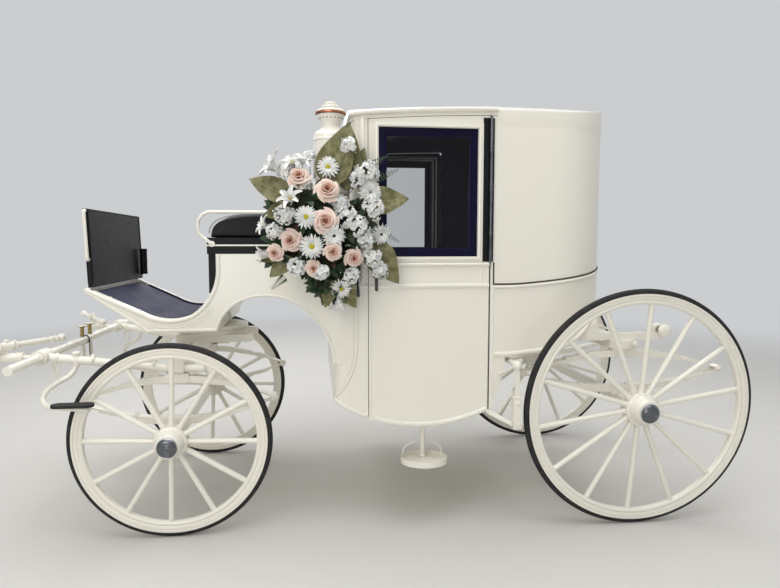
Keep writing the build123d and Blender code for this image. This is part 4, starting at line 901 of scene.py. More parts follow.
cushion_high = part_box("driver_cushion")[1]
cushion_side = [(0.16, 1.389), (0.16, 1.41), (0.164, 1.432), (0.176, 1.454), (0.2, 1.474), (0.245, 1.49),
                (0.31, 1.501), (0.38, 1.506), (0.5, 1.509), (0.66, 1.509), (0.8, 1.508), (0.826, 1.503),
                (0.83, 1.488), (0.83, 1.389)]


def seat_pad(maker):
    """Cover panels before they are stuffed: a wedge, a little slack, with a flat bottom."""
    half = cushion_high.y - 0.003
    rings = []
    for share in (-1, -0.99, -0.93, -0.75, -0.5, -0.25, 0, 0.25, 0.5, 0.75, 0.93, 0.99, 1):
        pull = 0.0 if abs(share) < 0.95 else (0.004 if abs(share) < 1 else 0.01)
        ring = []
        for setback, level in cushion_side:
            low_share = (level - 1.389) / 0.115
            ring.append(Vector((behind(setback + (pull if setback < 0.5 else -pull) * low_share),
                                share * half, level - pull * low_share - 0.006 * low_share)))
        rings.append(ring)
    join_rings(maker, rings)


def stuff(piece, rest_level, cap, voxel=0.009, pressure=5.0):
    """Remeshes a cover, blows it up under cloth pressure from its pinned base, and smooths it."""
    def settled(source):
        layer = bpy.context.evaluated_depsgraph_get()
        return bpy.data.meshes.new_from_object(source.evaluated_get(layer))

    remesh = piece.modifiers.new("remesh", "REMESH")
    remesh.mode = "VOXEL"
    remesh.voxel_size = voxel
    fine = settled(piece)
    piece.modifiers.clear()
    materials = list(piece.data.materials)
    piece.data = fine
    start = [vert.co.copy() for vert in fine.vertices]
    pins = piece.vertex_groups.new(name="pins")
    pins.add([vert.index for vert in fine.vertices if vert.co.z < rest_level], 1.0, "REPLACE")
    cloth = piece.modifiers.new("cloth", "CLOTH")
    cloth.settings.quality = 5
    cloth.settings.use_pressure = True
    cloth.settings.uniform_pressure_force = pressure
    cloth.settings.effector_weights.gravity = 0
    cloth.settings.tension_stiffness = 30
    cloth.settings.compression_stiffness = 20
    cloth.settings.vertex_group_mass = "pins"
    cloth.point_cache.frame_end = 20
    for step in range(1, 21):
        bpy.context.scene.frame_set(step)
    blown = settled(piece)
    piece.modifiers.clear()
    piece.vertex_groups.clear()
    for vert, before in zip(blown.vertices, start):
        move = vert.co - before
        if move.length > cap:
            vert.co = before + move.normalized() * cap
    piece.data = blown
    bpy.context.scene.frame_set(1)
    for material in materials:
        if not piece.data.materials:
            piece.data.materials.append(material)
    for face in piece.data.polygons:
        face.use_smooth = True
    smooth = piece.modifiers.new("smooth", "SMOOTH")
    smooth.factor = 0.5
    smooth.iterations = 4
    piece.data = settled(piece)
    piece.modifiers.clear()


seat_cushion = build("seat_cushion", seat_pad, black_leather, "carriage", smooth_angle=60)
stuff(seat_cushion, 1.396, 0.007)
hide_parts("driver_cushion")

# Pale piping sewn round the cushion's two side edges.
pale_piping, tree, shader = new_material("pale_waxed_piping", {"Roughness": 0.55})
carry(tree, shader, pattern(tree, "Noise", {"Scale": 80, "Detail": 4}), ("#8A8C92", "#C9C8C4"))


def cushion_piping(maker):
    for side in (1, -1):
        line = smooth_path([(s, z, 0) for s, z in cushion_side[1:9]], 4)
        half = cushion_high.y - 0.006
        run = [(spot(p.x - 0.0005, side * half, p.y - 0.001), Vector((0, side, 0))) for p in line]
        run_section(maker, run, round_cord(0.0038, 8))


build("cushion_piping", cushion_piping, pale_piping, "carriage")

# Cab seat: a boxed bench with a fluted seat cushion and a deep-buttoned back
# squab, all in dark blue wool cloth over horsehair.
thread_mm = 1.4
navy_wool, tree, shader = new_material("navy_wool_cloth", {
    "Roughness": 0.88, "Sheen Weight": 0.35, "Sheen Roughness": 0.5, "Specular IOR Level": 0.2})
threads = {"Scale": 1000 / thread_mm / 6.28, "Distortion": 0.6}
warp = pattern(tree, "Wave", threads, bands_direction="Y")
weft = pattern(tree, "Wave", threads, bands_direction="Z")
cross = add_node(tree, "ShaderNodeMath", {0: warp, 1: weft}, operation="MULTIPLY")
carry(tree, shader, cross.outputs[0], bump=(0.35, 0.0006))
carry(tree, shader, pattern(tree, "Noise", {"Scale": 18, "Detail": 5}), ("#101630", "#222B4E"))
dress(navy_wool, "cab_bench")

squab_half = 0.5
flute_count = 9
button_pitch_y, button_pitch_z = 0.15, 0.118


def rear_limit(y, inset=0.045):
    """Setback of the rounded back wall's inner face at a distance from the middle."""
    over = max(abs(y) - (half_body - rear_corner), 0)
    return rear_setback - rear_corner + math.sqrt((rear_corner - inset) ** 2 - over ** 2)


def bench_pad(maker):
    rings = []
    for k in range(25):
        y = 0.53 * (2 * k / 24 - 1)
        back = min(rear_limit(y) - 0.006, 1.985)
        ease = 0.01 if k in (0, 24) else 0.0
        section = [(1.63 + ease, 0.909), (1.624 + ease, 0.925), (1.623 + ease, 0.965 - ease),
                   (1.632 + ease, 0.99 - ease), (1.655 + ease, 1.001 - ease), (1.72, 1.004 - ease),
                   (1.85, 1.002 - ease), (back - 0.02, 0.998 - ease), (back, 0.985), (back, 0.972)]
        if back > 1.9:
            section += [(back, 0.94), (1.88, 0.912)]
        else:
            section += [(back, 0.94), (back - 0.02, 0.912)]
        rings.append([spot(s, y, z) for s, z in section])
    join_rings(maker, rings)


squab_front = [(1.893, 1.022), (1.908, 1.08), (1.925, 1.13), (1.952, 1.19), (1.964, 1.28), (1.972, 1.38), (1.982, 1.45),
               (2.008, 1.478), (2.038, 1.488)]
squab_rear = [(2.08, 1.478), (2.094, 1.45), (2.092, 1.38), (2.088, 1.28), (2.078, 1.19), (2.04, 1.13), (2, 1.07),
              (1.96, 1.022)]


def back_pad(maker):
    rings = []
    for k in range(21):
        y = squab_half * (2 * k / 20 - 1)
        limit = rear_limit(y) - 0.008
        ease = 0.012 if k in (0, 20) else 0.0
        ring = []
        for s, z in squab_front:
            ring.append(Vector((behind(min(s, limit - 0.045) + ease), y, z - (ease if z > 1.3 else 0))))
        for s, z in squab_rear:
            ring.append(Vector((behind(min(s, limit)), y, z - (ease if z > 1.3 else 0))))
        rings.append(ring)
    join_rings(maker, rings)


def buttons():
    """Button places on the squab as (y, height), in staggered rows."""
    for row in range(4):
        offset = 0.5 if row % 2 else 0.0
        for k in range(-3, 4):
            y = (k + offset) * button_pitch_y
            if abs(y) < squab_half - 0.03:
                yield y, 1.095 + row * button_pitch_z


squab = build("back_squab", back_pad, navy_wool, "carriage", smooth_angle=60)
stuff(squab, 1.03, 0.01, 0.01, 4.0)
for vert in squab.data.vertices:
    if vert.normal.x > 0.25 and 1.05 < vert.co.z < 1.485:
        nearest = min(math.hypot(vert.co.y - y, vert.co.z - z) for y, z in buttons())
        a = (vert.co.y / button_pitch_y + (vert.co.z - 1.095) / (2 * button_pitch_z)) % 1
        b = (vert.co.y / button_pitch_y - (vert.co.z - 1.095) / (2 * button_pitch_z)) % 1
        seam = min(min(a, 1 - a), min(b, 1 - b)) * button_pitch_y * 0.85
        vert.co.x -= 0.015 * math.exp(-(nearest / 0.02) ** 2) + 0.006 * math.exp(-(seam / 0.01) ** 2)

cushion_pad = build("bench_cushion", bench_pad, navy_wool, "carriage", smooth_angle=60)
stuff(cushion_pad, 0.92, 0.008, 0.01, 4.0)
for vert in cushion_pad.data.vertices:
    if vert.normal.z > 0.2 or vert.normal.x > 0.5:
        share = (vert.co.y / 1.06 * flute_count) % 1
        seam = min(share, 1 - share) * 1.06 / flute_count
        vert.co -= vert.normal * (0.006 * math.exp(-(seam / 0.007) ** 2))
for piece, node in ((squab, "cab_back"), (cushion_pad, "cab_cushion")):
    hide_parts(node)


def squab_buttons(maker):
    surface = squab.data.vertices
    for y, z in buttons():
        near = min(surface, key=lambda v: (v.co.y - y) ** 2 + (v.co.z - z) ** 2 + (0 if v.normal.x > 0.2 else 9))
        turned(maker, near.co - Vector((0.004, 0, 0)), (1, 0, 0), [
            (0, -0.002), (0.0085, -0.002), (0.0088, 0.002), (0.007, 0.005), (0.0035, 0.0065), (0, 0.0068)], 14)


build("squab_buttons", squab_buttons, navy_wool, "carriage")


def cushion_welt(maker):
    run = [(spot(1.6205, y, 0.983), Vector((1, 0, 0.4)).normalized()) for y in
           [0.515 * (2 * k / 12 - 1) for k in range(13)]]
    run_section(maker, run, round_cord(0.0042, 8))


build("cushion_welt", cushion_welt, navy_wool, "carriage")

# Door trim: two rows of ivory cord sewn to the lining round each window.
for side_name, side in sides:
    inner_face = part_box(f"door_{side_name}")[0 if side > 0 else 1].y

    def window_cords(maker):
        for grow in (0.012, 0.034):
            corners = window_corners(grow, -side, 0.7)
            run_section(maker, [(spot(s, inner_face - side * 0.001, z), Vector((0, -side, 0)))
                                for s, z in corners], half_round(0.0058, 0.0042), closed=True)

    build(f"window_cords_{side_name}", window_cords, ivory_enamel, f"door_{side_name}")

# Lamps: spun sheet lanterns in ivory, with a pierced chimney under a copper
# banded brim, a stacked finial, and a round lens facing forward.  The chimney's
# holes are not cut: short black plugs sit in their places as painted shade.
copper, tree, shader = new_material("burnished_copper", {"Metallic": 1, "Roughness": 0.3})
carry(tree, shader, pattern(tree, "Noise", {"Scale": 40, "Detail": 4}), ("#8A4C34", "#CF9878"))
lamp_setback = 0.736
lamp_y = 0.64
lamp_up = (0, 0, 1)
hole_count = 20


def lamp_bodies(maker):
    for side in (1, -1):
        foot = (behind(lamp_setback), side * lamp_y, 0)
        turned(maker, foot, lamp_up, [
            (0, 1.442), (0.008, 1.442), (0.0145, 1.447), (0.0155, 1.455), (0.0135, 1.462), (0.0135, 1.5),
            (0.0155, 1.505), (0.0155, 1.512), (0.0135, 1.517), (0.014, 1.54), (0.03, 1.548), (0.052, 1.556),
            (0.066, 1.566), (0.073, 1.578), (0.0745, 1.584), (0.0775, 1.586), (0.0775, 1.592), (0.075, 1.596),
            (0.075, 1.812), (0.0775, 1.815), (0.0775, 1.822), (0.075, 1.825), (0.075, 1.838), (0.071, 1.847),
            (0.062, 1.856), (0.05, 1.862), (0.043, 1.868), (0.0395, 1.876), (0.0405, 1.884), (0.047, 1.898),
            (0.056, 1.914), (0.062, 1.9255), (0.062, 1.9285), (0.0565, 1.9295), (0.0565, 1.9425), (0.062, 1.9432),
            (0.0615, 1.946), (0.056, 1.951), (0.046, 1.954), (0.034, 1.9555), (0.034, 1.958), (0.0385, 1.9588),
            (0.0395, 1.961), (0.0395, 1.966), (0.0375, 1.9685), (0.028, 1.971), (0.021, 1.9718), (0.021, 1.974),
            (0.0245, 1.9748), (0.0255, 1.977), (0.0255, 1.981), (0.0235, 1.9835), (0.012, 1.9845), (0, 1.985)], 48)
        block(maker, (behind(lamp_setback + 0.066), side * (half_body - 0.005), 1.66), (0.066, 0.012, 0.019))
        lens = Vector((behind(lamp_setback) + 0.07, side * lamp_y, 1.705))
        turned(maker, lens, (1, 0, 0), [(0.0505, -0.035), (0.0565, -0.035), (0.0565, 0.004), (0.0545, 0.0075),
                                        (0.0505, 0.0075), (0.0485, 0.004), (0.0485, -0.035), (0.0505, -0.035)], 40)


def lamp_rings(maker):
    for side in (1, -1):
        foot = (behind(lamp_setback), side * lamp_y, 0)
        turned(maker, foot, lamp_up, [(0.0555, 1.93), (0.0665, 1.93), (0.0695, 1.9325), (0.07, 1.936),
                                      (0.069, 1.94), (0.0655, 1.9425), (0.0555, 1.9425), (0.0555, 1.93)], 48)


# Short black plugs where the chimney's holes are: painted shade for the dark inside of each hole.
def lamp_hole_shade_plugs(maker):
    for side in (1, -1):
        for number in range(hole_count):
            turn = 2 * math.pi * number / hole_count
            outward = Vector((math.cos(turn), math.sin(turn), -0.55)).normalized()
            point = spot(lamp_setback, side * lamp_y, 1.9115) + Vector((math.cos(turn), math.sin(turn), 0)) * 0.0552
            turned(maker, point, outward, [(0, -0.002), (0.0028, -0.002), (0.0028, 0.0004), (0, 0.0004)], 8)


def lamp_lenses(maker):
    for side in (1, -1):
        lens = Vector((behind(lamp_setback) + 0.07, side * lamp_y, 1.705))
        turned(maker, lens, (1, 0, 0), [(0, -0.004), (0.0488, -0.004), (0.0488, 0), (0.036, 0.0045),
                                        (0.018, 0.0068), (0, 0.0075)], 40)


build("lamp_bodies", lamp_bodies, ivory_enamel, "carriage", "lamps")
build("lamp_rings", lamp_rings, copper, "carriage")
build("lamp_hole_shade_plugs", lamp_hole_shade_plugs, japan_black_and_hole_shade, "carriage")
build("lamp_lenses", lamp_lenses, clear_glass, "carriage")

# Fore gear: ringed collars and barrels where the poles and bars meet, brass
# roller bolts with flat ivory caps, and the nuts, clips and straps that hold it.
brass, tree, shader = new_material("aged_brass", {"Metallic": 1, "Roughness": 0.28})
dull = pattern(tree, "Noise", {"Scale": 55, "Detail": 6})
carry(tree, shader, dull, ("#85744A", "#C4B078"), rough=(0.2, 0.42))

bar_reach = 0.565
collar_y = 0.54
roller_low, roller_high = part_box("roller_bolts")
bar_height = roller_low.z - 0.022
roller_y = 0.055


def bead_ring(maker, middle, axis, radius, half_width, height=0.003, steps=28):
    """A raised ring round a bar."""
    turned(maker, middle, axis, [
        (radius - 0.002, -half_width), (radius + height * 0.6, -half_width), (radius + height, -half_width * 0.6),
        (radius + height, half_width * 0.6), (radius + height * 0.6, half_width), (radius - 0.002, half_width),
        (radius - 0.002, -half_width)], steps)


def bolt_head(maker, foot, axis, radius=0.01, height=0.008):
    """A domed bolt head on its washer."""
    turned(maker, foot, axis, [
        (0, -0.001), (radius * 1.45, -0.001), (radius * 1.45, 0.0018), (radius, 0.0022), (radius, height * 0.6),
        (radius * 0.8, height * 0.9), (radius * 0.4, height), (0, height * 1.02)], 14)


def hex_nut(maker, foot, axis, radius=0.01, height=0.009):
    """A nut with the end of its bolt."""
    matrix = axis_frame(Vector(foot), axis)
    turn_profile(maker, matrix, [(0, 0), (radius, 0), (radius, height * 0.9), (radius * 0.9, height),
                                 (radius * 0.55, height), (radius * 0.5, height * 1.45), (0, height * 1.5)], 6)


def fore_fittings(maker):
    for side in (1, -1):
        collar = spot(-bar_reach, side * collar_y, bar_height)
        for offset in (-0.041, -0.012, 0.012, 0.041):
            bead_ring(maker, collar + Vector((0, offset, 0)), (0, 1, 0), 0.032, 0.0035)
        for ahead in (0.088, 0.102, 0.172):
            bead_ring(maker, collar + Vector((ahead, 0, 0)), (1, 0, 0), 0.02, 0.003)
        bead_ring(maker, collar + Vector((0.038, 0, 0)), (1, 0, 0), 0.009, 0.006, 0.005)
        stop = collar + Vector((0, side * 0.045, 0))
        bead_ring(maker, stop + Vector((0, side * 0.01, 0)), (0, 1, 0), 0.021, 0.006, 0.005)
        for y in (0.3, 0.2):
            bead_ring(maker, spot(-bar_reach, side * y, bar_height), (0, 1, 0), 0.021, 0.004, 0.002)
        slope = Vector((0.585, side * 0.106, 0.063)).normalized()
        for reach in (0.505, 0.36, 0.1):
            share = (bar_reach - reach) / 0.585
            bead_ring(maker, collar - Vector((0.585, side * 0.106, 0.063)) * share, slope, 0.02, 0.005, 0.0025)
        stem = spot(-bar_reach, side * roller_y, bar_height - 0.078)
        hex_nut(maker, stem, (0, 0, -1), 0.015, 0.01)
        bead_ring(maker, stem + Vector((0, 0, 0.02)), (0, 0, 1), 0.0105, 0.004, 0.003)


def step_rods(maker):
    """Bent rods that hang the driver's step pads from the futchells, each headed by a turned knob."""
    for side in (1, -1):
        bend = [(0.43, 0.516, 0.86), (0.431, 0.52, 0.8), (0.452, 0.534, 0.762), (0.5, 0.553, 0.733),
                (0.538, 0.575, 0.702), (0.547, 0.596, 0.667), (0.522, 0.618, 0.642), (0.45, 0.638, 0.637),
                (0.325, 0.67, 0.637)]
        path = smooth_path([(behind(-reach), side * out, level) for reach, out, level in bend], 7)
        run_section(maker, [(p, Vector((0.3, side, 0.2)).normalized()) for p in path], round_cord(0.0125, 16))
        crown = spot(-0.43, side * 0.516, bar_height - 0.014)
        turned(maker, crown, (0, 0, 1), [
            (0, -0.036), (0.0135, -0.036), (0.0165, -0.031), (0.0165, -0.018), (0.0145, -0.015), (0.0145, 0.016),
            (0.0175, 0.019), (0.0185, 0.024), (0.0165, 0.029), (0.0105, 0.032), (0, 0.033)], 24)


def roller_posts(maker):
    for side in (1, -1):
        foot = (behind(-bar_reach), side * roller_y, roller_low.z)
        height = roller_high.z - roller_low.z
        turned(maker, foot, lamp_up, [
            (0, 0), (0.0125, 0), (0.013, 0.002), (0.013, 0.004), (0.01, 0.007), (0.0095, 0.016),
            (0.01, height - 0.013), (0.0118, height - 0.009), (0.02, height - 0.0062), (0.0262, height - 0.005),
            (0.0268, height - 0.003), (0.0262, height - 0.0018), (0, height - 0.0018)], 28)


def roller_caps(maker):
    for side in (1, -1):
        foot = (behind(-bar_reach), side * roller_y, roller_high.z)
        turned(maker, foot, lamp_up, [(0, -0.0022), (0.0255, -0.0022), (0.0262, -0.0012), (0.0252, -0.0002),
                                      (0.012, 0), (0, 0)], 28)


def bar_strap(maker):
    """A narrow strap buckled round the bar by the near roller, its end hanging."""
    middle = spot(-bar_reach, 0.02, bar_height)
    turned(maker, middle, (0, 1, 0), [(0.0212, -0.006), (0.0235, -0.006), (0.0235, 0.006), (0.0212, 0.006),
                                      (0.0212, -0.006)], 28)
    run = [(middle + Vector((-0.0232, 0.002, drop)), Vector((-1, 0.02 * k, 0)).normalized())
           for k, drop in enumerate((0.004, -0.02, -0.045, -0.068, -0.084))]
    run_section(maker, run, [(-0.005, 0), (-0.005, 0.002), (0.005, 0.002), (0.005, 0)])


def shackles(maker):
    for side in (1, -1):
        eye = spot(-0.512, side * 0.53, bar_height - 0.04)
        path = smooth_path([(0.011, 0, 0), (0.013, 0, -0.018), (0.01, 0, -0.038), (0, 0, -0.048),
                            (-0.01, 0, -0.038), (-0.013, 0, -0.018), (-0.011, 0, 0)], 5)
        run_section(maker, [(eye + p, Vector((0, 1, 0))) for p in path], round_cord(0.0056, 8))
        turned(maker, eye - Vector((0.017, 0, 0)), (1, 0, 0), [(0, 0), (0.0052, 0), (0.0052, 0.034), (0, 0.034)], 12)
        run_section(maker, [(eye + Vector((0, 0, rise)), Vector((0, 1, 0))) for rise in (0.022, -0.004)],
                    round_cord(0.006, 8))


build("step_rods", step_rods, ivory_enamel, "fore_gear", "driver_step_rods")
build("roller_posts", roller_posts, brass, "fore_gear", "roller_bolts")
build("fore_fittings", fore_fittings, ivory_enamel, "fore_gear")
build("roller_caps", roller_caps, ivory_enamel, "fore_gear")
build("bar_strap", bar_strap, black_leather, "fore_gear")
build("shackles", shackles, ivory_enamel, "fore_gear")

# Spring gear: clips round the leaves, plates bolted through each saddle, and
# bolts through the eyes.
# end, body, half spacing, half length between eyes, camber, distance behind the front axle
spring_rows = (("front", "fore_gear", 0.434, 0.455, 0.085, 0.0), ("rear", "carriage", 0.52, 0.52, 0.074, 2.2))
leaf_half_width = 0.022
leaf_thickness = 0.008
for end, body, spacing, half_length, camber, setback in spring_rows:
    low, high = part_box(f"springs_{end}")

    def spring_fittings(maker):
        eye = (low.z + high.z) / 2
        arc = (half_length ** 2 + camber ** 2) / (2 * camber)
        for side in (1, -1):
            for ahead in (-1, 1):
                middle = Vector((behind(setback) + ahead * half_length, side * spacing, eye))
                turned(maker, middle - Vector((0, leaf_half_width + 0.003, 0)), (0, 1, 0), [
                    (0, 0), (0.0175, 0), (0.019, 0.002), (0.019, 2 * leaf_half_width + 0.004),
                    (0.0175, 2 * leaf_half_width + 0.006), (0, 2 * leaf_half_width + 0.006)], 24)
                for face in (-1, 1):
                    foot = middle + Vector((0, face * (leaf_half_width + 0.003), 0))
                    hex_nut(maker, foot, (0, face, 0), 0.0105, 0.008)
                for up in (-1, 1):
                    for share, leaves in ((0.42, 3), (0.66, 2)):
                        swing = share * math.asin(half_length / arc) * ahead
                        thick = leaves * leaf_thickness
                        reach = arc + thick / 2
                        clip = Vector((behind(setback) + reach * math.sin(swing), side * spacing,
                                       eye + up * (camber - arc + reach * math.cos(swing))))
                        tilt = Matrix.Rotation(swing * up, 3, "Y")
                        block(maker, clip, (0.007, leaf_half_width + 0.0025, thick / 2 + 0.0025), tilt, 0.001)
            for up in (-1, 1):
                plate = spot(setback, side * spacing, high.z if up > 0 else low.z)
                for ahead in (-0.038, 0.038):
                    for across in (-0.019, 0.019):
                        foot = plate + Vector((ahead, across, -up * 0.046))
                        hex_nut(maker, foot, (0, 0, -up), 0.0065, 0.006)

    build(f"spring_fittings_{end}", spring_fittings, ivory_enamel, body)

# Single trees: turned ash bars with a collar at the pivot and rings before
# each ball end, in the same enamel.
tree_half = 0.275
for side_name, side in sides:
    tree_low, tree_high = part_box(f"single_tree_{side_name}")
    pivot = (tree_low + tree_high) / 2
    along = Vector((tree_high.x - tree_low.x - 0.04, side * (tree_high.y - tree_low.y - 0.04), 0)).normalized()

    def tree_rings(maker):
        for share in (-0.9, -0.8, -0.14, 0.14, 0.8, 0.9):
            bead_ring(maker, pivot + along * (tree_half * share), along, 0.0142 if abs(share) > 0.5 else 0.02, 0.003,
                      0.0024)
        hex_nut(maker, pivot + Vector((0, 0, 0.0185)), (0, 0, 1), 0.0125, 0.009)

    build(f"tree_rings_{side_name}", tree_rings, ivory_enamel, f"single_tree_{side_name}")

# Rear gear: nuts on the bolster, flattened balls closing the pump handles, and
# the brake shaft with its arms, blocks, flat links and thin rods.
bolster_low, bolster_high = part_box("rear_bolster")
pump_y = 0.52


def rear_fittings(maker):
    for side in (1, -1):
        end = spot(2.255, side * (bolster_high.y - 0.026), (bolster_low.z + bolster_high.z) / 2)
        bolt_head(maker, end, (0, side, 0), 0.013, 0.02)
        for ahead in (-0.035, 0.035):
            hex_nut(maker, Vector((behind(2.2) + ahead, side * pump_y + side * 0.03, bolster_high.z)), (0, 0, 1), 0.01,
                    0.009)
        ball = spot(2.41, side * pump_y, bolster_high.z + 0.044)
        for out in (-1, 1):
            turned(maker, ball + Vector((0, side * out * 0.02, 0)), (0, side * out, 0), [
                (0.018, 0), (0.0295, 0.004), (0.0335, 0.012), (0.033, 0.02), (0.0275, 0.0275), (0.016, 0.0315),
                (0, 0.0325)], 28)
        for setback in (2.085, 2.285):
            clip = spot(setback, side * pump_y, bolster_high.z + 0.017)
            block(maker, clip, (0.009, 0.0175, 0.0195))
        rod = smooth_path([(behind(2.035), side * 0.44, 0.955), (behind(2.1), side * 0.455, 0.945),
                           (behind(2.2), side * 0.475, 0.9), (behind(2.215), side * 0.478, 0.878)], 5)
        run_section(maker, [(p, Vector((0, 0, 1))) for p in rod], round_cord(0.0055, 10))


brake_shaft = spot(1.597, 0, 0.79)
brake_y = 0.696


def brake_arms(maker):
    """Cross shaft in two hangers, with a ball, a forged arm and a block before each rear tyre."""
    turned(maker, brake_shaft - Vector((0, brake_y, 0)), (0, 1, 0), [
        (0, 0), (0.0135, 0), (0.0135, 2 * brake_y), (0, 2 * brake_y)], 20)
    for side in (1, -1):
        hanger = Vector((brake_shaft.x, side * 0.43, (brake_shaft.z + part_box("brake_gear")[1].z) / 2))
        block(maker, hanger, (0.014, 0.008, hanger.z - brake_shaft.z), None, 0.002)
        bead_ring(maker, Vector((brake_shaft.x, side * 0.43, brake_shaft.z)), (0, 1, 0), 0.0135, 0.014, 0.006)
        ball = brake_shaft + Vector((0, side * (brake_y - 0.016), 0))
        turned(maker, ball, (0, side, 0), [
            (0, -0.004), (0.013, -0.002), (0.0195, 0.004), (0.0225, 0.013), (0.0215, 0.022), (0.016, 0.03),
            (0.008, 0.034), (0, 0.035)], 24)
        arm = smooth_path([(behind(s), side * brake_y, z) for s, z in (
            (1.597, 0.785), (1.596, 0.75), (1.6, 0.705), (1.6, 0.665), (1.597, 0.64))], 5)
        run_section(maker, [(p, Vector((0, side, 0))) for p in arm], [
            (-0.011, -0.006), (-0.013, 0), (-0.011, 0.006), (0.011, 0.006), (0.013, 0), (0.011, -0.006)])
        shoe = spot(1.5965, side * brake_y, 0.5665)
        block(maker, shoe, (0.0205, 0.026, 0.0755), None, 0.004)
        block(maker, shoe + Vector((0.001, 0, 0.0765)), (0.025, 0.028, 0.0055), None, 0.002)
        for rise in (-0.05, 0.05):
            bolt_head(maker, shoe + Vector((0, side * 0.0255, rise)), (0, side, 0), 0.008, 0.006)
        pivot = spot(1.486, side * 0.6, 0.549)
        foot = spot(1.588, side * (brake_y - 0.004), 0.506)
        run_section(maker, [(pivot, Vector((0, side, 0))), (foot, Vector((0, side, 0)))],
                    [(-0.01, -0.003), (-0.01, 0.003), (0.01, 0.003), (0.01, -0.003)])
        for low, high in (((1.53, 0.61, 0.535), (1.58, brake_y, 0.668)),
                          ((1.535, 0.585, 0.722), (1.597, brake_y - 0.01, 0.785))):
            run_section(maker, [(spot(s, side * out, z), Vector((0, 1, 0))) for s, out, z in (low, high)],
                        round_cord(0.0065, 10))
        for at in (pivot + Vector((0, side * 0.004, 0)), spot(1.53, side * 0.616, 0.535)):
            bolt_head(maker, at, (0, side, 0), 0.007, 0.006)


build("rear_fittings", rear_fittings, ivory_enamel, "carriage")
build("brake_arms", brake_arms, ivory_enamel, "carriage", "brake_gear")


def whip_rim(maker):
    low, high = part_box("whip_socket")
    middle = (low + high) / 2
    for level in (high.z - 0.008, (low.z + high.z) / 2, low.z + 0.01):
        bead_ring(maker, Vector((middle.x, middle.y, level)), (0, 0, 1), (high.x - low.x) / 2, 0.004, 0.0018)


build("whip_rim", whip_rim, black_leather, "carriage")

# Door steps: a thin hoop behind each rimmed plate, and ribs across its tread.


def step_hoops(maker):
    for side in (1, -1):
        middle = spot(1.18, side * 0.56, 0.322)
        path = smooth_path([(-0.098, -side * 0.045, 0), (-0.088, -side * 0.052, 0.034), (-0.05, -side * 0.058, 0.055),
                            (0, -side * 0.06, 0.062), (0.05, -side * 0.058, 0.055), (0.088, -side * 0.052, 0.034),
                            (0.098, -side * 0.045, 0)], 5)
        run_section(maker, [(middle + p, Vector((0, side, 0))) for p in path], round_cord(0.0045, 8))
        for offset in (-0.05, -0.025, 0.0, 0.025, 0.05):
            half = 0.105 * math.sqrt(1 - (offset / 0.09) ** 2) - 0.012
            rib = spot(1.18, side * 0.56 + offset, 0.3095)
            block(maker, rib, (half, 0.003, 0.0022), None, 0.001)
        bead_ring(maker, spot(1.18, side * 0.52, 0.318), (0, 0, 1), 0.012, 0.006, 0.005)


build("step_hoops", step_hoops, ivory_enamel, "carriage")

# Bouquets: silk flowers tied to each lamp, peach roses and white daisies over
# blossom and broad olive leaves, on a dark bed of small leaves.  The right one
# mirrors the left.
petal_white, tree, shader = new_material("white_silk_petal", {
    "Roughness": 0.62, "Subsurface Weight": 0.15, "Subsurface Scale": 0.004})
carry(tree, shader, pattern(tree, "Noise", {"Scale": 26, "Detail": 3}), ("#D0D1D1", "#F6F5F1"), (0.3, 0.62))
carry(tree, shader, pattern(tree, "Noise", {"Scale": 700}), bump=(0.2, 0.0004))

petal_peach, tree, shader = new_material("peach_silk_petal", {
    "Roughness": 0.6, "Subsurface Weight": 0.2, "Subsurface Scale": 0.005})
# The ramp darkens the peach towards each petal's foot, and the inner rings reach less far up it: partly the silk's
# deeper heart, partly painted shade in the rose's cupped middle.
depth = add_node(tree, "ShaderNodeUVMap", uv_map="petal")
along = add_node(tree, "ShaderNodeSeparateXYZ", {0: depth.outputs[0]})
carry(tree, shader, along.outputs["Y"], ("#C08468", "#EEDACE"), (0.3, 0.9))
carry(tree, shader, pattern(tree, "Noise", {"Scale": 600}), bump=(0.2, 0.0004))


def leaf_finish(name, dark, light, vein):
    """Veined leaf: veins branch from the midrib, and the blade is mottled between them."""
    material, tree, shader = new_material(name, {"Roughness": 0.5, "Specular IOR Level": 0.35})
    blade = add_node(tree, "ShaderNodeUVMap", uv_map="petal")
    split = add_node(tree, "ShaderNodeSeparateXYZ", {0: blade.outputs[0]})
    across = add_node(tree, "ShaderNodeMath", {0: split.outputs["X"], 1: 0.5}, operation="SUBTRACT")
    away = add_node(tree, "ShaderNodeMath", {0: across.outputs[0]}, operation="ABSOLUTE")
    branch = add_node(tree, "ShaderNodeMath", {0: away.outputs[0], 1: -0.9, 2: split.outputs["Y"]},
                      operation="MULTIPLY_ADD")
    repeat = add_node(tree, "ShaderNodeMath", {0: branch.outputs[0], 1: 0.11}, operation="PINGPONG")
    side_vein = add_node(tree, "ShaderNodeMath", {0: repeat.outputs[0], 1: 0.012}, operation="LESS_THAN")
    midrib = add_node(tree, "ShaderNodeMath", {0: away.outputs[0], 1: 0.022}, operation="LESS_THAN")
    veins = add_node(tree, "ShaderNodeMath", {0: side_vein.outputs[0], 1: midrib.outputs[0]}, operation="MAXIMUM")
    carry(tree, shader, pattern(tree, "Noise", {"Scale": 34, "Detail": 4}), (dark, light), (0.35, 0.7))
    mottle = shader.inputs["Base Color"].links[0].from_socket
    softened = add_node(tree, "ShaderNodeMath", {0: veins.outputs[0], 1: 0.35}, operation="MULTIPLY")
    veined = add_node(tree, "ShaderNodeMix", {"Factor": softened.outputs[0], "A": mottle, "B": linear(vein)},
                      data_type="RGBA")
    tree.links.new(veined.outputs["Result"], shader.inputs["Base Color"])
    carry(tree, shader, veins.outputs[0], bump=(0.3, 0.0006))
    return material


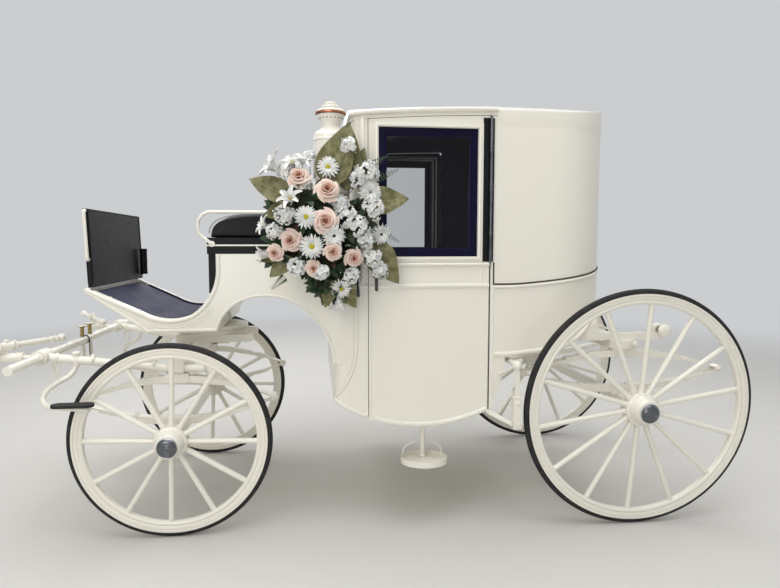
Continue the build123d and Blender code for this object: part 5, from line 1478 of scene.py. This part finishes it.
olive_leaf = leaf_finish("olive_silk_leaf", "#5A5A34", "#8B8762", "#A09A74")
green_leaf = leaf_finish("green_silk_leaf", "#1A2E20", "#4C6145", "#66795A")
russet_leaf = leaf_finish("russet_silk_leaf", "#2A1A14", "#5F4030", "#7A5A42")
dark_moss, tree, shader = new_material("dark_sheet_moss", {"Roughness": 0.95, "Specular IOR Level": 0.15})
fibre = pattern(tree, "Noise", {"Scale": 150, "Detail": 6, "Roughness": 0.7})
carry(tree, shader, fibre, ("#11150D", "#39402A"), bump=(0.8, 0.004))
pollen, tree, shader = new_material("yellow_flock_centre", {"Roughness": 0.9})
flock = pattern(tree, "Voronoi", {"Scale": 520}, "Distance")
carry(tree, shader, flock, ("#D9C52E", "#8A8A1C"), bump=(0.6, 0.001))


def patch(maker, shape, across=4, along=6, pale=1.0):
    """A thin petal or leaf: shape(u, v) gives a point, u across from -1 to 1, v along from 0 to 1."""
    layer = maker.loops.layers.uv.get("petal") or maker.loops.layers.uv.new("petal")
    grid = [[maker.verts.new(shape(2 * i / across - 1, j / along)) for i in range(across + 1)]
            for j in range(along + 1)]
    for j in range(along):
        for i in range(across):
            corners = ((i, j), (i + 1, j), (i + 1, j + 1), (i, j + 1))
            points = [grid[b][a] for a, b in corners]
            if len({tuple(round(c, 6) for c in point.co) for point in points}) < 4:
                continue
            face = maker.faces.new(points)
            for loop, (a, b) in zip(face.loops, corners):
                loop[layer].uv = (a / across, pale * b / along)


def head_frame(place, facing, twist):
    """Frame of a flower head: Z out of the flower."""
    matrix = Vector(facing).to_track_quat("Z", "Y").to_matrix().to_4x4() @ Matrix.Rotation(twist, 4, "Z")
    matrix.translation = place
    return matrix


def petal(maker, frame_matrix, turn, length, width, tilt, cup, curl, start=0.0, across=4, along=5, sharp=1.0):
    """One petal about a head's Z: tilted up from flat, cupped across and curled back at its tip."""
    spin = Matrix.Rotation(turn, 4, "Z")

    def shape(u, v):
        outline = width * math.sin(math.pi * min(0.12 + 0.88 * v, 1) ** sharp * 0.93) ** 0.7
        bend = tilt - curl * v * v
        reach = start + length * v * math.cos(bend)
        rise = length * v * math.sin(bend) + cup * (u * u) * outline
        return frame_matrix @ spin @ Vector((reach, u * outline, rise))

    patch(maker, shape, across, along)


def rose(maker, matrix, radius, dice):
    """A half-open rose: petals wound about its axis, each ring wider, lower and more rolled back."""
    # petals, span, foot radius, lip radius, lip height, roll of the lip, reach up the colour ramp (short on inner
    # rings, so they stay darker: partly painted shade)
    for count, span, foot, lip, height, roll, pale in (
            (2, 1.8, 0.02, 0.17, 1.12, 0, 0.45), (3, 1.35, 0.1, 0.36, 1.14, 0.03, 0.6),
            (3, 1.3, 0.22, 0.58, 1.06, 0.08, 0.78), (4, 1.12, 0.34, 0.8, 0.86, 0.13, 0.92),
            (5, 0.8, 0.4, 0.98, 0.5, 0.2, 1)):
        turn = dice.uniform(0, 6.28)
        for number in range(count):
            middle = turn + 6.283 * number / count + dice.uniform(-0.18, 0.18)
            lean = dice.uniform(0.9, 1.1)
            phase = dice.uniform(0, 6.28)

            def shape(u, v):
                edge = 1 - 0.2 * u ** 4 + 0.05 * math.sin(4 * u + phase) * v ** 3
                swing = middle + 0.28 * v + span * u * (0.55 + 0.45 * math.sin(math.pi * min(v, 0.97) / 1.9))
                reach = radius * (foot + (lip * lean - foot) * v ** 1.25 + roll * v ** 5) * (1 + 0.14 * u * v)
                rise = radius * (height * edge * math.sin(math.pi / 2 * v ** 0.8) - roll * 1.2 * v ** 6 - 0.25)
                return matrix @ Vector((reach * math.cos(swing), reach * math.sin(swing), rise))

            patch(maker, shape, 8, 8, pale)


def daisy(maker, matrix, radius, dice, layers=2, count=17):
    for layer in range(layers):
        for number in range(count):
            turn = 6.283 * (number + 0.5 * layer) / count + dice.uniform(-0.05, 0.05)
            petal(maker, matrix, turn, radius * (0.84 + 0.12 * dice.random()) * (1 - 0.12 * layer), radius * 0.085,
                  0.1 + 0.22 * layer + dice.uniform(-0.08, 0.08), 0.6, 0.25, radius * 0.14, 2, 5, 0.7)


def button(maker, matrix, radius):
    turn_profile(maker, matrix, [(0, -0.1 * radius), (radius, -0.1 * radius), (radius * 1.02, radius * 0.12),
                                 (radius * 0.85, radius * 0.36), (radius * 0.5, radius * 0.5), (0, radius * 0.52)], 14)


def blossom(maker, matrix, radius, dice):
    """A loose cluster of five-petalled florets, spread evenly over a dome."""
    florets = int(5 + radius * 170)
    for number in range(florets):
        turn = 2.4 * number + dice.uniform(-0.3, 0.3)
        lean = math.acos(1 - 0.95 * (number + 0.5) / florets)
        aim = Vector((math.sin(lean) * math.cos(turn), math.sin(lean) * math.sin(turn), math.cos(lean)))
        reach = radius * dice.uniform(0.7, 1.22)
        floret = head_frame(matrix @ (aim * reach), (matrix.to_3x3() @ aim).normalized(), dice.uniform(0, 6.28))
        size = dice.uniform(0.016, 0.0205)
        for k in range(5):
            petal(maker, floret, 6.283 * k / 5, size, size * 0.52, dice.uniform(0.1, 0.5), 0.5, 0.5, 0.001, 4, 4, 0.9)


def lily(maker, matrix, length, open_share, dice):
    """A trumpet of six pointed petals, from nearly shut (0) to wide open (1)."""
    for number in range(6):
        petal(maker, matrix, 6.283 * number / 6 + dice.uniform(-0.08, 0.08), length, length * 0.22,
              1.42 - 0.3 * open_share + (0.06 if number % 2 else 0), 0.8, 0.28 + 0.55 * open_share, 0.004, 4, 7, 0.75)


def leaf(maker, root, tip, width, normal, droop=0.12, heart=0.75, fold=0.28, wave=0.0, across=6, along=10):
    """A leaf from its root to its tip, its face towards a normal."""
    root, tip = Vector(root), Vector(tip)
    ahead = tip - root
    length = ahead.length
    ahead.normalize()
    sideways = ahead.cross(Vector(normal)).normalized()
    up = sideways.cross(ahead).normalized()

    def shape(u, v):
        outline = width * math.sin(math.pi * min(max(v, 0.0), 1.0) ** heart) ** 0.8 * (1 - 0.25 * v)
        rise = fold * abs(u) * outline - droop * length * v * v + wave * width * math.sin(9 * v + 2 * u) * abs(u)
        return root + ahead * (length * v) + sideways * (u * outline) + up * rise

    patch(maker, shape, across, along)


bouquet_seed = 41
heart_setback, heart_out, heart_level = 0.7, 0.6, 1.44
bed_blobs = ((0.62, 0.64, 1.5, 0.15), (0.7, 0.64, 1.32, 0.142), (0.575, 0.61, 1.345, 0.125),
             (0.74, 0.64, 1.19, 0.08), (0.8, 0.655, 1.45, 0.105))
# setback, distance out, height, radius
roses = ((0.597, 0.752, 1.64, 0.041), (0.715, 0.79, 1.583, 0.044), (0.705, 0.812, 1.451, 0.047),
         (0.559, 0.775, 1.372, 0.04), (0.492, 0.75, 1.32, 0.031), (0.826, 0.765, 1.297, 0.034),
         (0.735, 0.815, 1.325, 0.034), (0.655, 0.79, 1.255, 0.03))
daisies = ((0.72, 0.745, 1.69, 0.05), (0.625, 0.825, 1.471, 0.05), (0.648, 0.82, 1.347, 0.053),
           (0.775, 0.735, 1.16, 0.046))
white_heads = ((0.742, 0.825, 1.392, 0.05), (0.905, 0.735, 1.585, 0.056), (0.955, 0.715, 1.4, 0.048))
blossoms = ((0.885, 0.715, 1.668, 0.048), (0.845, 0.725, 1.64, 0.034), (0.915, 0.735, 1.515, 0.044),
            (0.8, 0.765, 1.475, 0.046), (0.85, 0.76, 1.435, 0.042), (0.945, 0.7, 1.245, 0.036),
            (0.915, 0.725, 1.3, 0.036), (0.535, 0.715, 1.672, 0.03), (0.535, 0.79, 1.48, 0.036),
            (0.49, 0.74, 1.412, 0.032), (0.58, 0.765, 1.262, 0.034), (0.69, 0.79, 1.235, 0.032),
            (0.806, 0.775, 1.779, 0.026), (0.88, 0.745, 1.375, 0.034), (0.82, 0.745, 1.225, 0.032),
            (0.64, 0.7, 1.735, 0.026), (0.77, 0.76, 1.535, 0.036))
# setback, distance out, height, length, how far open, aim
lilies = ((0.52, 0.7, 1.672, 0.092, 0.45, (0.85, 0.35, 0.55)), (0.575, 0.705, 1.69, 0.064, 0.8, (0.25, 0.6, 0.8)),
          (0.478, 0.715, 1.318, 0.072, 0.1, (0.95, 0.35, -0.12)), (0.567, 0.79, 1.535, 0.066, 0.7, (0.35, 0.8, 0.6)),
          (0.462, 0.7, 1.43, 0.058, 0.6, (0.85, 0.4, 0.35)), (0.765, 0.705, 1.13, 0.072, 0.25, (0.0, 0.3, -1.0)),
          (0.61, 0.72, 1.7, 0.052, 0.9, (-0.1, 0.7, 0.8)))
# root and tip as setback, distance out, height; half width
olive_leaves = (((0.715, 0.715, 1.61), (0.812, 0.752, 1.885), 0.088), ((0.8, 0.706, 1.59), (0.822, 0.742, 1.86), 0.07),
                ((0.82, 0.69, 1.6), (0.88, 0.715, 1.78), 0.06), ((0.56, 0.72, 1.56), (0.385, 0.745, 1.64), 0.062),
                ((0.56, 0.715, 1.52), (0.445, 0.74, 1.48), 0.048), ((0.9, 0.69, 1.54), (1.08, 0.705, 1.565), 0.07),
                ((0.9, 0.69, 1.36), (1.04, 0.7, 1.18), 0.078), ((0.54, 0.7, 1.33), (0.405, 0.72, 1.29), 0.046),
                ((0.56, 0.715, 1.3), (0.46, 0.73, 1.215), 0.044), ((0.74, 0.72, 1.2), (0.7, 0.725, 1.075), 0.04),
                ((0.77, 0.715, 1.19), (0.845, 0.715, 1.07), 0.046))


def outward_at(place):
    """Outward direction of the bouquet at a place on its left side form."""
    heart = spot(heart_setback, heart_out - 0.1, heart_level)
    away = place - heart
    away.y = max(away.y, 0.06) * 1.6
    return away.normalized()


def mirrored(maker_left):
    """Makes the left form, then its mirror image on the right."""
    def both(maker):
        maker_left(maker)
        made = bmesh.ops.duplicate(maker, geom=maker.verts[:] + maker.edges[:] + maker.faces[:])["geom"]
        for element in made:
            if isinstance(element, bmesh.types.BMVert):
                element.co.y = -element.co.y
        bmesh.ops.reverse_faces(maker, faces=[e for e in made if isinstance(e, bmesh.types.BMFace)])
    return both


@mirrored
def rose_heads(maker):
    dice = random.Random(bouquet_seed)
    for setback, out, level, radius in roses:
        place = spot(setback, out, level)
        rose(maker, head_frame(place, outward_at(place) + Vector((0, 0.45, 0.15)), dice.uniform(0, 6)), radius, dice)


@mirrored
def white_flowers(maker):
    dice = random.Random(bouquet_seed + 1)
    for setback, out, level, radius in daisies:
        place = spot(setback, out, level)
        daisy(maker, head_frame(place, outward_at(place) + Vector((0, 1.2, 0.1)), dice.uniform(0, 6)), radius, dice)
    for setback, out, level, radius in white_heads:
        place = spot(setback, out, level)
        daisy(maker, head_frame(place, outward_at(place) + Vector((0, 0.4, -0.2)), 0.3), radius, dice, 3, 15)
    for setback, out, level, radius in blossoms:
        place = spot(setback, out, level)
        blossom(maker, head_frame(place, outward_at(place) + Vector((0, 0.5, 0)), 0), radius, dice)
    for setback, out, level, length, open_share, aim in lilies:
        lily(maker, head_frame(spot(setback, out, level), Vector(aim), dice.uniform(0, 6)), length, open_share, dice)


@mirrored
def flower_centres(maker):
    dice = random.Random(bouquet_seed)
    for setback, out, level, radius in daisies:
        place = spot(setback, out, level)
        button(maker, head_frame(place, outward_at(place) + Vector((0, 1.2, 0.1)), dice.uniform(0, 6)), radius * 0.23)
    for setback, out, level, length, open_share, aim in lilies[:5]:
        base = head_frame(spot(setback, out, level), Vector(aim), 0)
        for number in range(5):
            lean = 0.2 + 0.02 * number
            tip = Vector((math.cos(number * 1.26) * lean, math.sin(number * 1.26) * lean, 1)) * (length * 0.55)
            run_section(maker, [(base @ Vector((0, 0, 0.004)), Vector((1, 0, 0))), (base @ tip, Vector((1, 0, 0)))],
                        round_cord(0.0012, 6))


@mirrored
def broad_leaves(maker):
    for root, tip, width in olive_leaves:
        leaf(maker, spot(*root), spot(*tip), width, Vector((0.1, 1, 0.25)), 0.1, 0.72, 0.22, 0.1)


@mirrored
def bed_leaves(maker):
    dice = random.Random(bouquet_seed + 2)
    for setback, out, level, radius in bed_blobs:
        for number in range(72):
            turn, lift = dice.uniform(0, 6.283), dice.uniform(-0.9, 0.9)
            flat = math.sqrt(1 - lift * lift)
            aim = Vector((flat * math.cos(turn), abs(flat * math.sin(turn)), lift))
            root = spot(setback, out, level) + aim * radius * 0.75
            if root.y < half_body + 0.02:
                root.y = half_body + 0.02 + 0.02 * dice.random()
            stray = Vector((dice.uniform(-0.7, 0.7), dice.uniform(0, 0.5), dice.uniform(-0.7, 0.7)))
            away = (aim + stray).normalized()
            length = dice.uniform(0.045, 0.085)
            leaf(maker, root, root + away * length, length * dice.uniform(0.22, 0.34),
                 Vector((dice.uniform(-0.5, 0.5), 1, dice.uniform(-0.2, 0.6))), 0.2, 0.8, 0.3, 0.1, 4, 5)
    for base, tip in (((0.93, 0.7, 1.64), (1.035, 0.705, 1.69)), ((0.93, 0.71, 1.43), (1.04, 0.71, 1.365)),
                      ((0.9, 0.71, 1.7), (0.985, 0.72, 1.745)), ((0.53, 0.72, 1.215), (0.47, 0.73, 1.16))):
        stem, end = spot(*base), spot(*tip)
        ahead = (end - stem).normalized()
        sideways = ahead.cross(Vector((0, 1, 0))).normalized()
        for step in range(9):
            share = step / 9
            root = stem.lerp(end, share)
            for hand in (-1, 1):
                reach = 0.03 * (1 - 0.75 * share)
                leaf(maker, root, root + (sideways * hand + ahead * 0.55).normalized() * reach, reach * 0.16,
                     Vector((0, 1, 0)), 0.1, 0.8, 0.1, 0.0, 2, 4)
        run_section(maker, [(stem, Vector((0, 1, 0))), (end, Vector((0, 1, 0)))], round_cord(0.0011, 6))


@mirrored
def russet_bed(maker):
    dice = random.Random(bouquet_seed + 3)
    for setback, out, level, radius in bed_blobs:
        for number in range(16):
            turn, lift = dice.uniform(0, 6.283), dice.uniform(-0.8, 0.8)
            flat = math.sqrt(1 - lift * lift)
            aim = Vector((flat * math.cos(turn), abs(flat * math.sin(turn)), lift))
            root = spot(setback, out, level) + aim * radius * 0.85
            root.y = max(root.y, half_body + 0.03)
            away = (aim + Vector((dice.uniform(-0.9, 0.9), 0.2, dice.uniform(-0.9, 0.9)))).normalized()
            length = dice.uniform(0.03, 0.055)
            leaf(maker, root, root + away * length, length * 0.34, Vector((0, 1, 0.2)), 0.3, 0.8, 0.4, 0.2, 4, 5)


@mirrored
def moss_core(maker):
    """The damp moss that the stems are pushed into."""
    for setback, out, level, radius in bed_blobs:
        for vert in bmesh.ops.create_icosphere(maker, subdivisions=4, radius=radius * 0.72)["verts"]:
            ripple = 1 + 0.12 * math.sin(vert.co.x * 160) * math.sin(vert.co.y * 150) * math.sin(vert.co.z * 140)
            vert.co = spot(setback, out + 0.02, level - 0.01) + vert.co * ripple
            vert.co.y = max(vert.co.y, half_body + 0.006)


@mirrored
def flower_stems(maker):
    """Wired stems from the outlying heads back into the moss."""
    heads = [(s, o, z) for s, o, z, r in blossoms] + [(row[0], row[1], row[2]) for row in lilies]
    heads += [(s, o, z) for s, o, z, r in white_heads + daisies]
    for setback, out, level in heads:
        head = spot(setback, out - 0.006, level)
        root = head.lerp(spot(0.66, half_body + 0.05, 1.42), 0.45)
        sag = Vector((0, 0, -0.01))
        path = smooth_path([head, head.lerp(root, 0.5) + sag, root], 4)
        run_section(maker, [(point, Vector((0, 1, 0))) for point in path], round_cord(0.0014, 6))


@mirrored
def pale_sprays(maker):
    dice = random.Random(bouquet_seed + 4)
    top, foot = spot(0.863, 0.7, 1.235), spot(0.868, 0.705, 1.095)
    for number in range(60):
        share = number / 60
        middle = top.lerp(foot, share)
        turn = number * 2.4
        reach = 0.012 * (1 - 0.6 * share)
        bud = bmesh.ops.create_icosphere(maker, subdivisions=1, radius=0.0042 * (1 - 0.4 * share))["verts"]
        for vert in bud:
            vert.co += middle + Vector((reach * math.cos(turn), reach * math.sin(turn), 0))
    for number in range(70):
        setback, out, level, radius = blossoms[dice.randrange(len(blossoms))]
        aim = Vector((dice.uniform(-1, 1), dice.uniform(0.2, 1), dice.uniform(-1, 1))).normalized()
        middle = spot(setback, out, level) + aim * (radius + dice.uniform(0.004, 0.022))
        for vert in bmesh.ops.create_icosphere(maker, subdivisions=1, radius=dice.uniform(0.002, 0.0042))["verts"]:
            vert.co += middle


for name, maker, finish in (
        ("rose_heads", rose_heads, petal_peach), ("white_flowers", white_flowers, petal_white),
        ("flower_centres", flower_centres, pollen), ("broad_leaves", broad_leaves, olive_leaf),
        ("bed_leaves", bed_leaves, green_leaf), ("russet_bed", russet_bed, russet_leaf),
        ("moss_core", moss_core, dark_moss), ("flower_stems", flower_stems, green_leaf),
        ("pale_sprays", pale_sprays, petal_white)):
    build(name, maker, finish, "carriage", "bouquets", 80)
